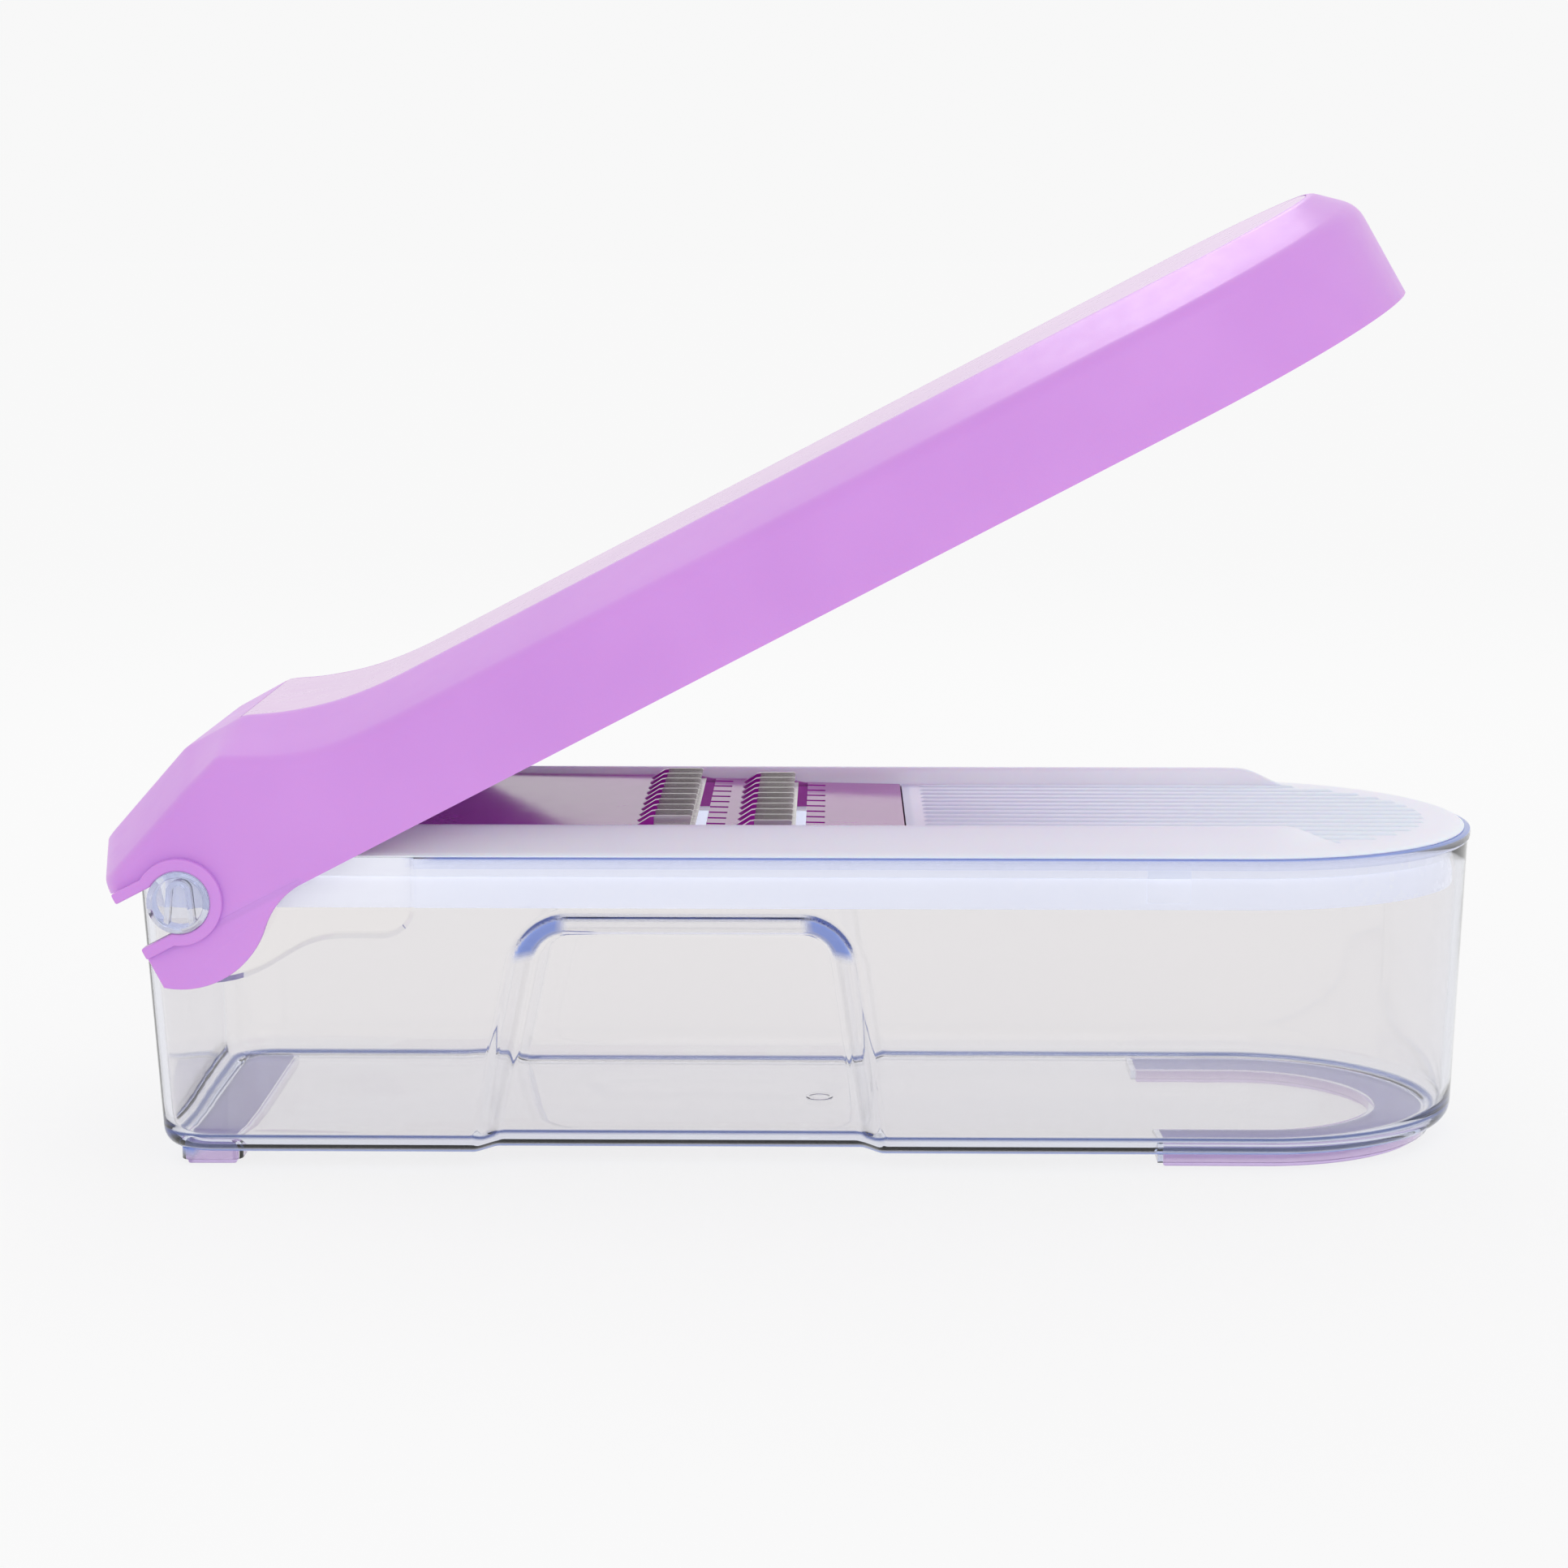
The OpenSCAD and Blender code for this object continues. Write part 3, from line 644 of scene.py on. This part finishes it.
def hinge_boss():
    """Hollow round boss on the long wall, with a stiffening arch inside it."""
    y0, y1, pocket_r, pocket_y = RIM_HALF - 2.4, 55.4, 5.1, 51.6
    edge, inner_edge = 0.35, 0.2
    profile = [(BOSS_R, y0), (BOSS_R, y1 - edge), (BOSS_R - edge * 0.3, y1 - edge * 0.3), (BOSS_R - edge, y1),
               (pocket_r + inner_edge, y1), (pocket_r, y1 - inner_edge), (pocket_r - inner_edge, pocket_y)]
    boss = revolve("hinge_boss", profile, (PIVOT_X, PIVOT_Z))
    foot_z, crown_z, outer_foot, outer_r, inner_foot, inner_r = -4.6, 1.9, 3.1, 2.5, 2.1, 1.5
    outline = [(outer_foot, foot_z)] + arc(0, crown_z, outer_r, 0, 180, 14) + [(-outer_foot, foot_z)]
    outline += [(-inner_foot, foot_z)] + arc(0, crown_z, inner_r, 180, 0, 14) + [(inner_foot, foot_z)]
    arch = prism("arch", [(PIVOT_X + x, PIVOT_Z + z) for x, z in outline], pocket_y - 0.3, y1 - 0.9)
    return combine(boss, arch, "UNION")


def ring_wall(name, outer, inner, z0, z1):
    """Upright wall between two closed outlines."""
    rings = [[(x, y, z) for x, y in line] for line, z in
             ((outer, z0), (outer, z1), (inner, z1), (inner, z0))]
    return mesh_object(name, *loft(rings, loop=True))


def rounded_box(x0, y0, x1, y1, r):
    return (arc(x1 - r, y1 - r, r, 0, 90, 5) + arc(x0 + r, y1 - r, r, 90, 180, 5)
            + arc(x0 + r, y0 + r, r, 180, 270, 5) + arc(x1 - r, y0 + r, r, 270, 360, 5))


def strip_outline(grow):
    """The foot across the rear end."""
    return rounded_box(FOOT_X[0] - grow, -FOOT_HALF - grow, FOOT_X[1] + grow, FOOT_HALF + grow,
                       FOOT_CORNER_R + grow)


def strip_channel():
    outer, inner = strip_outline(CHANNEL_WALL), strip_outline(0)
    return ring_wall("strip_channel", outer, inner, CHANNEL_LOW, CHANNEL_HIGH)


def arch_outline(grow):
    """The foot that follows the round front: half a ring with short straight ends."""
    outer, inner = ARCH_OUTER + grow, ARCH_INNER - grow
    rear, steps = ARCH_X - grow, 48
    return ([(rear, -outer)] + arc(ARCH_CENTRE, 0, outer, -90, 90, steps) + [(rear, outer)]
            + [(rear, inner)] + arc(ARCH_CENTRE, 0, inner, 90, -90, steps) + [(rear, -inner)])


def arch_channel():
    outer, inner = arch_outline(CHANNEL_WALL), arch_outline(0)
    return ring_wall("arch_channel", outer, inner, CHANNEL_LOW, CHANNEL_HIGH)


def foot_pockets():
    """Hair-thin room above each foot, so that no two faces share a plane."""
    low, top = CHANNEL_LOW - 1, BASE_Z + 0.15
    return [mesh_object("pocket", *loft([[(x, y, z) for x, y in line] for z in (low, top)]))
            for line in (strip_outline(0), arch_outline(0))]


def gate_mark():
    """Small moulded ring on the floor of the container."""
    x, r, half_w, height = 140.5, 2.6, 0.35, 0.3
    outlines = [arc(x, 0, edge, 0, 360, 32)[:-1] for edge in (r + half_w, r - half_w)]
    return ring_wall("gate_mark", *outlines, FLOOR_Z - height, FLOOR_Z + height)


# ---------- deck ----------


# Sections through the deck's edge, with and without the rail, as distances in and heights.
RAIL_PROFILE = [(0, 67.0), (0.35, 67.4), (1.0, 67.8), (2.2, 68.45), (4.0, 69.5), (6.0, 70.65),
                (7.6, 71.5), (8.5, 71.9), (9.1, CREST_Z), (9.6, 71.9), (9.95, 71.6), (10.15, 71.1),
                (10.3, 70.2), (10.5, 68.6), (10.7, 68.15), (11.2, LANDING_Z), (60, LANDING_Z)]
BORDER_PROFILE = [(0, 67.0), (0.35, 67.35), (1.0, 67.65), (2.2, 67.95), (2.8, LANDING_Z), (60, LANDING_Z)]
PROFILE_ROUND = 0.12


def s_curve(t):
    t = min(max(t, 0), 1)
    return (1 - math.cos(math.pi * t)) / 2


def rail_share(x):
    """How much of the rail's height stands at x: it rises at the rear and runs down at the front."""
    rear = s_curve((x - RAIL_REAR[0]) / (RAIL_REAR[1] - RAIL_REAR[0]))
    front = 1 - s_curve((x - RAIL_FRONT[0]) / (RAIL_FRONT[1] - RAIL_FRONT[0]))
    return rear * front


def deck_ring(inward, height):
    """Ring of the deck a given distance in from its edge. Its height follows from x and that distance."""
    sides = spaced(14, 30, 4) + spaced(36, 228, 16)
    corner_r = max(DECK_CORNER_R - inward, 0.6)
    half = half_outline(DECK_X0 + inward, DECK_X1 - inward, DECK_HALF - inward, corner_r, sides, 8, 56)
    return [(x, y, height(x, inward)) for x, y in whole(half)]


def top_height(x, inward):
    border = rounded_lookup(BORDER_PROFILE, inward, PROFILE_ROUND)
    rail = rounded_lookup(RAIL_PROFILE, inward, PROFILE_ROUND)
    return border + (rail - border) * rail_share(x)


def under_height(x, inward):
    """Underside: hollow below the rails and level with the rim elsewhere."""
    thick, hollow_from, hollow_to = 1.7, 3.0, 9.0
    inside = hollow_from < inward < hollow_to
    return max(top_height(x, inward) - thick, RIM_Z) if inside else RIM_Z


def build_deck():
    """Deck lofted from the underside, round its edge and in over the rail, with the window cut out."""
    edge_gap, plate_x, plate_half, plate_low, plate_high = 0.12, 10, 39.2, 67.5, 71
    under_steps = [11.3, 9.1, 8.9, 7, 5, 3.2, 2.9, 0.5, 0.15]
    top_steps = [0, 0.12, 0.3, 0.6, 1.0, 1.6, 2.2, 3, 4, 5, 6, 7, 7.7, 8.2, 8.6, 8.9, 9.2, 9.5, 9.75, 9.95,
                 10.1, 10.2, 10.3, 10.4, 10.5, 10.6, 10.75, 11, 11.3]
    rings = [deck_ring(w, under_height) for w in under_steps]
    rings += [deck_ring(0, lambda x, w: RIM_Z + edge_gap)]
    rings += [deck_ring(w, top_height) for w in top_steps]
    deck = mesh_object("slicing_deck_shell", *loft(rings, caps="strips"))
    opening = block("opening", (WINDOW_X[0], -WINDOW_HALF, BELOW), (WINDOW_X[1], WINDOW_HALF, ABOVE))
    rear_plate = block("rear_plate", (plate_x, -plate_half, plate_low), (WINDOW_X[0], plate_half, plate_high))
    soften(rear_plate, 0.4)
    combine(deck, opening, "DIFFERENCE")
    place(join(deck, rear_plate, window_frame(), *landing_ribs()), BASE, "base", LOOKS["deck"],
          "deck_plastic", "slicing_deck", angle=32)
    wall, *others = skirt()
    wall.name = "slicing_deck_skirt"
    place(join(wall, *others), BASE, "base", LOOKS["skirt"], "deck_plastic", angle=32)


def window_frame():
    """Well under the window, with the ledge that the insert stands on."""
    wall, ledge, low, floor = 1.6, 1.6, 62.4, 1.2
    x0, x1 = WINDOW_X
    top = LANDING_Z - 0.02
    outer = block("well", (x0 - wall, -WINDOW_HALF - wall, low), (x1 + wall, WINDOW_HALF + wall, top))
    middle = block("seat", (x0, -WINDOW_HALF, low + floor), (x1, WINDOW_HALF, ABOVE))
    hole = block("hole", (x0 + ledge, -WINDOW_HALF + ledge, BELOW), (x1 - ledge, WINDOW_HALF - ledge, ABOVE))
    return soften(combine(combine(outer, middle, "DIFFERENCE"), hole, "DIFFERENCE"), 0.15, 2)


def skirt():
    """Upright wall inside the rim, its wider upper band and the friction pads on both."""
    thick, corner_r, pad_sunk = 1.8, 9, 0.5
    low, step, high = RIM_Z - SKIRT_DROP, RIM_Z - BAND_DROP, RIM_Z

    def band(name, half_w, z0, z1):
        inset = RIM_HALF - half_w
        lines = [whole(half_outline(inset + t, LENGTH - inset - t, half_w - t, corner_r, spaced(20, 225, 40)))
                 for t in (0, thick)]
        return soften(ring_wall(name, *lines, z0, z1), 0.25, 2, 60)

    pads = []
    for half_w, z0, z1 in ((SKIRT_HALF, low + 1.4, step), (BAND_HALF, step, high - 0.2)):
        pad = block("pad", (PAD_X[0], half_w - pad_sunk, z0), (PAD_X[1], half_w + PAD_OUT, z1))
        pads += both_sides(soften(pad, 0.12, 2))
    return band("skirt", SKIRT_HALF, low, high), band("upper_band", BAND_HALF, step, high), *pads


def landing_ribs():
    """Fine rounded ribs along the landing, ending at the border of the round front."""
    half_w, height, pitch, start, border = 1.1, 0.45, 5.2, 162.8, 8.5
    radius, centre = DECK_HALF - border, DECK_X1 - DECK_HALF
    section = [(-half_w, -0.2), (-half_w, 0.05), (-half_w * 0.8, height * 0.7), (-half_w * 0.45, height),
               (half_w * 0.45, height), (half_w * 0.8, height * 0.7), (half_w, 0.05), (half_w, -0.2)]
    ribs = []
    for i in range(-7, 8):
        y = i * pitch
        end = centre + math.sqrt(radius * radius - y * y)
        stations = [(start, 0), (start + 0.8, 1), (end - 0.8, 1), (end, 0)]
        rings = [[(x, y + w * (0.75 + 0.25 * s), LANDING_Z + h * (s if h > 0 else 1)) for w, h in section]
                 for x, s in stations]
        ribs.append(mesh_object("rib", *loft(rings)))
    return ribs


# ---------- lid ----------


def eased_height(table, u, peak_u, sharpest):
    """Height of a line over the hump: sharp at its peak and gently curved further on."""
    gentlest = 4
    return rounded_lookup(table, u, min(max((u - peak_u) / 2, sharpest), gentlest))


def hump_height(u):
    return eased_height(HUMP, u, 27, 0.8)


def crease_height(u):
    return eased_height(CREASE, u, 20, 1.2)


def lid_outline(rear, reach, half_w, corner_r):
    sides = spaced(-5, 60, 1.3) + spaced(70, 215, 29)
    return whole(half_outline(rear, reach, half_w, corner_r, sides, 10, 56))


def lid_rings(thin):
    """Rings from the lower edge over the soft crease to the top, moved inward by thin."""
    corner_r, lean, rear_lean, edge = 7 - thin, 1, 0.4, 1.9
    rear, top_thin = LID_REAR + thin, thin / 3
    low = lid_outline(rear, LID_REACH - thin, LID_HALF - thin, corner_r)
    mid = lid_outline(rear, LID_REACH - lean - thin, LID_HALF - lean - thin, corner_r)
    high = lid_outline(rear + rear_lean, TOP_REACH - top_thin, TOP_HALF - top_thin, 3)
    inside = lid_outline(rear + 2.2, TOP_REACH - edge - top_thin, TOP_HALF - edge - top_thin, 2)
    low_points = [Vector((x, y, LOWER_V)) for x, y in low]
    mid_points = [Vector((x, y, crease_height(x) - thin * 0.9)) for x, y in mid]
    high_points, in_points = ([Vector((x, y, hump_height(x) - thin)) for x, y in line]
                              for line in (high, inside))
    lines = [lid_profile(*points) for points in zip(low_points, mid_points, high_points, in_points)]
    return [list(ring) for ring in zip(*lines)]


def lid_profile(low, crease, edge, inside):
    """One line of the outer skin: up the side, round the crease, up the slope and round the top edge."""
    crease_reach, edge_reach, share = 3.2, 1.4, 0.4
    up, slope = crease - low, edge - crease
    crease_in = crease - up.normalized() * min(crease_reach, up.length * share)
    crease_out = crease + slope.normalized() * min(crease_reach, slope.length * share)
    edge_in = edge - slope.normalized() * min(edge_reach, slope.length * share)
    points = [low, low + up * 0.02, low + up * 0.35]
    points += quadratic(crease_in, crease, crease_out, 8)
    points += [crease_out.lerp(edge_in, 0.33), crease_out.lerp(edge_in, 0.66)]
    points += quadratic(edge_in, edge, edge.lerp(inside, 0.6), 6)
    return points + [inside]


def quadratic(a, b, c, steps):
    return [a.lerp(b, i / steps).lerp(b.lerp(c, i / steps), i / steps) for i in range(steps + 1)]


def lid_shell():
    """Closed shell: the outer skin, the inner skin and a rounded lower lip between them."""
    outer = lid_rings(0)
    inner = lid_rings(LID_WALL)
    lip = [[(p + q) / 2 for p, q in zip(outer[0], inner[0])]]
    rings = list(reversed(outer)) + lip + inner
    return mesh_object("lid_shell", *loft(rings, caps="strips"))


def panel_outline(grow):
    sides = spaced(26.5, 58, 1.05) + spaced(70, 230, 32)
    return whole(half_outline(PANEL_U0 - grow, PANEL_U1 + grow, PANEL_HALF + grow, 1.2, sides, 5, 56))


def arm():
    """Lower half of a hinge arm, which hangs from the lid's side wall."""
    r, blend_r, thick = 18.1, 16.0, 2
    blend_v = LOWER_V - blend_r
    blend_u = math.sqrt((r + blend_r) ** 2 - blend_v ** 2)
    meet = math.degrees(math.atan2(blend_v, blend_u))
    start = -180 + math.degrees(math.acos(-MOUTH_REAR / r))
    top = LOWER_V + 1.4
    outline = [(MOUTH_REAR, top)] + arc(0, 0, r, start, meet, 24)
    outline += arc(blend_u, blend_v, blend_r, 180 + meet, 90, 12)[1:] + [(blend_u + 0.1, top)]
    return soften(prism("arm", outline, LID_HALF - thick, LID_HALF + 0.01), 0.35, 3, 60)


def collar():
    """Raised lip round the clip's bore and along both sides of its mouth."""
    outer_r, out_top, out_low = 8.9, MOUTH_UPPER + 2.2, MOUTH_LOWER - 2.4
    sunk, raised = 2, 1.1

    def turn(side, height, r):
        """Angle at which a circle of radius r meets a height at the rear."""
        return side - math.degrees(math.asin(height / r))

    outline = [(MOUTH_REAR, MOUTH_UPPER), (MOUTH_REAR, out_top)]
    outline += arc(0, 0, outer_r, turn(180, out_top, outer_r), turn(-180, out_low, outer_r), 48)
    outline += [(MOUTH_REAR, out_low), (MOUTH_REAR, MOUTH_LOWER)]
    outline += arc(0, 0, BORE_R, turn(-180, MOUTH_LOWER, BORE_R), turn(180, MOUTH_UPPER, BORE_R), 48)
    return soften(prism("collar", outline, LID_HALF - sunk, LID_HALF + raised), 0.4, 4, 60)


def build_lid():
    """Shell with its rear cut short, the panel's opening, and the bores and mouths of the clips."""
    lid = lid_shell()
    side_w, rear_cut_u, beyond = LID_HALF - 2, -4.3, 60
    rear_cut = block("rear_cut", (LID_REAR - 2, -side_w, LOWER_V - 2), (rear_cut_u, side_w, REAR_LOWER_V))
    opening = mesh_object("panel_opening", *loft([[(x, y, v) for x, y in panel_outline(PANEL_GAP)]
                                                   for v in (12, 40)]))
    bore = revolve("bore", [(BORE_R, -beyond), (BORE_R, beyond)], (0, 0), 96)
    mouth = block("mouth", (LID_REAR - 3, -beyond, MOUTH_LOWER), (0, beyond, MOUTH_UPPER))
    for cutter in (rear_cut, opening, bore, mouth):
        combine(lid, cutter, "DIFFERENCE")
    parts = [piece for shape in (arm(), collar()) for piece in both_sides(shape)]
    join(lid, *parts, panel_lip())
    return place(lid, LID, "lid", LOOKS["lid"], "lid_plastic", "lid_frame", angle=32)


def panel_lip():
    """Lip under the edge of the panel, which carries it."""
    lines = []
    for grow, rear in ((1.0, 58), (-1.0, 60)):
        half_w = PANEL_HALF + grow
        half = [(rear, 0.0), (rear, half_w), (140, half_w)]
        half += arc(PANEL_U1 + grow - half_w, 0, half_w, 90, 0, 48)
        half[-1] = (half[-1][0], 0.0)
        lines.append(whole(half))
    return ring_wall("panel_lip", *lines, PLATE_LOW, PLATE_HIGH)


def build_panel():
    """Thin curved panel, flush with the lid, with a small rounded edge."""
    def ring(grow, drop):
        return [(x, y, hump_height(x) - drop) for x, y in panel_outline(grow)]

    rings = [ring(-0.3, LID_WALL), ring(-0.05, LID_WALL - 0.1), ring(0, LID_WALL - 0.3), ring(0, 0.3),
             ring(-0.08, 0.1), ring(-0.3, 0.01), ring(-0.8, 0)]
    panel = mesh_object("top_panel", *loft(rings, caps="strips"))
    return place(panel, LID, "lid", LOOKS["panel"], "panel_plastic", "lid_panel", angle=40)


# ---------- press grid ----------


def build_grid():
    """Thin plate with hollow square pegs, open at the top."""
    pitch, u0, rows, columns, margin = 7.2, 66.0, 25, 9, 5
    peg, hollow, peg_low, floor, half_w = 4.6, 3.4, 13.7, 0.9, 28.8
    u1 = u0 + (rows - 1) * pitch
    plate = block("press_plate", (u0 - margin, -half_w, PLATE_LOW), (u1 + margin, half_w, PLATE_HIGH))
    places = [(u0 + r * pitch, (c - (columns - 1) / 2) * pitch) for r in range(rows) for c in range(columns)]
    outside = [(peg_low, peg - 0.5), (peg_low + 0.25, peg - 0.1), (PLATE_LOW + 0.2, peg)]
    inside = [(peg_low + floor, hollow - 0.5), (PLATE_HIGH + 1, hollow)]
    combine(plate, square_pegs("pegs", places, outside), "UNION")
    combine(plate, square_pegs("pockets", places, inside), "DIFFERENCE")
    return place(plate, LID, "lid", LOOKS["grid"], "panel_plastic", "press_grid", angle=30)


def square_pegs(name, places, levels):
    """Square pegs at the given places, through the given heights and widths."""
    verts, faces = [], []
    for u, y in places:
        rings = [[(u + a * w / 2, y + b * w / 2, v) for a, b in ((-1, -1), (1, -1), (1, 1), (-1, 1))]
                 for v, w in levels]
        peg_verts, peg_faces = loft(rings)
        faces += [tuple(len(verts) + i for i in face) for face in peg_faces]
        verts += peg_verts
    return mesh_object(name, verts, faces)


# ---------- nodes carried over from the CAD ----------


def carry_over(node, material, bevel, segments=2):
    """Keeps a CAD node's shape, with softened edges and a new material."""
    same_place, flat_angle, sharp_angle = 1e-6, math.radians(1), math.radians(40)
    obj = frame["nodes"][node]
    weld = obj.modifiers.new("weld", "WELD")
    weld.merge_threshold = same_place
    flat = obj.modifiers.new("flat", "DECIMATE")
    flat.decimate_type = "DISSOLVE"
    flat.angle_limit = flat_angle
    round_over = obj.modifiers.new("bevel", "BEVEL")
    round_over.width = bevel * MM
    round_over.segments = segments
    round_over.limit_method = "ANGLE"
    round_over.angle_limit = sharp_angle
    normals = obj.modifiers.new("normals", "WEIGHTED_NORMAL")
    normals.keep_sharp = True
    if not obj.material_slots:
        obj.data.materials.append(material)
    for material_slot in obj.material_slots:
        material_slot.material = material


# ---------- stage ----------

# Strengths without a unit, and the floor's grey and half width in metres.
WORLD_LIGHT = 0.938
FLOOR_GLOW = 0.80
FLOOR_GREY = 0.15
FLOOR_HALF = 60
LIGHT_BOUNCES = 20
CLEAR_BOUNCES = 16


def build_stage():
    """Wide pale floor that glows evenly like a light table, soft light from all round and two lamps."""
    m = Nodes("studio_white")
    m.shader.inputs["Base Color"].default_value = (FLOOR_GREY, FLOOR_GREY, FLOOR_GREY, 1)
    m.shader.inputs["Emission Color"].default_value = (1, 1, 1, 1)
    m.shader.inputs["Emission Strength"].default_value = FLOOR_GLOW
    m.link(m.ramp(m.noise(4, 2), 0.8, 0.9), m.shader.inputs["Roughness"])
    m.shader.inputs["Specular IOR Level"].default_value = 0
    corners = [(x * FLOOR_HALF, y * FLOOR_HALF, 0) for x, y in ((-1, -1), (1, -1), (1, 1), (-1, 1))]
    floor = mesh_object("studio_floor", corners, [(0, 1, 2, 3)])
    floor.data.materials.append(m.material)
    world = bpy.data.worlds.new("studio")
    bpy.context.scene.world = world
    world.use_nodes = True
    sky = world.node_tree.nodes["Background"].inputs
    sky["Color"].default_value = (1, 1, 1, 1)
    sky["Strength"].default_value = WORLD_LIGHT
    add_lamp("back", position=(0.0, 0.75, 0.78), target=(0.08, 0, 0.15), size=0.4, power=1.2)
    add_lamp("front", position=(0.3, -1.1, 0.5), target=(0.05, 0, 0.08), size=0.9, power=1.3)


def add_lamp(name, position, target, size, power):
    data = bpy.data.lights.new(name, "AREA")
    data.shape = "SQUARE"
    data.size = size
    data.energy = power
    lamp = bpy.data.objects.new(name, data)
    lamp.location = position
    aim = Vector(target) - Vector(position)
    lamp.rotation_mode = "QUATERNION"
    lamp.rotation_quaternion = aim.to_track_quat("-Z", "Y")
    bpy.context.scene.collection.objects.link(lamp)


def build_camera():
    """Low, nearly square-on view of the long side."""
    looks_down, looks_left = math.radians(8.90), math.radians(0.85)
    data = bpy.data.cameras.new("view")
    data.lens = 78.13
    data.sensor_width = 36
    camera = bpy.data.objects.new("view", data)
    camera.location = (0.0073, -0.7259, 0.1879)
    camera.rotation_euler = (math.pi / 2 - looks_down, 0, looks_left)
    bpy.context.scene.collection.objects.link(camera)
    bpy.context.scene.camera = camera


def set_up_render():
    bpy.context.scene.view_settings.view_transform = "Standard"
    cycles = bpy.context.scene.cycles
    cycles.max_bounces = LIGHT_BOUNCES
    cycles.transmission_bounces = LIGHT_BOUNCES
    cycles.transparent_max_bounces = CLEAR_BOUNCES


build_stage()
build_camera()
build_container()
build_deck()
build_lid()
build_panel()
build_grid()
for foot in ("rear_foot", "front_foot"):
    carry_over(foot, LOOKS["foot"], 0.5, 3)
carry_over("blade_insert", LOOKS["insert"], 0.15)
for comb in ("rear_comb", "front_comb"):
    carry_over(comb, LOOKS["steel"], 0.06)
for blade in ("rear_blade", "front_blade"):
    carry_over(blade, LOOKS["steel"], 0.05)
set_up_render()
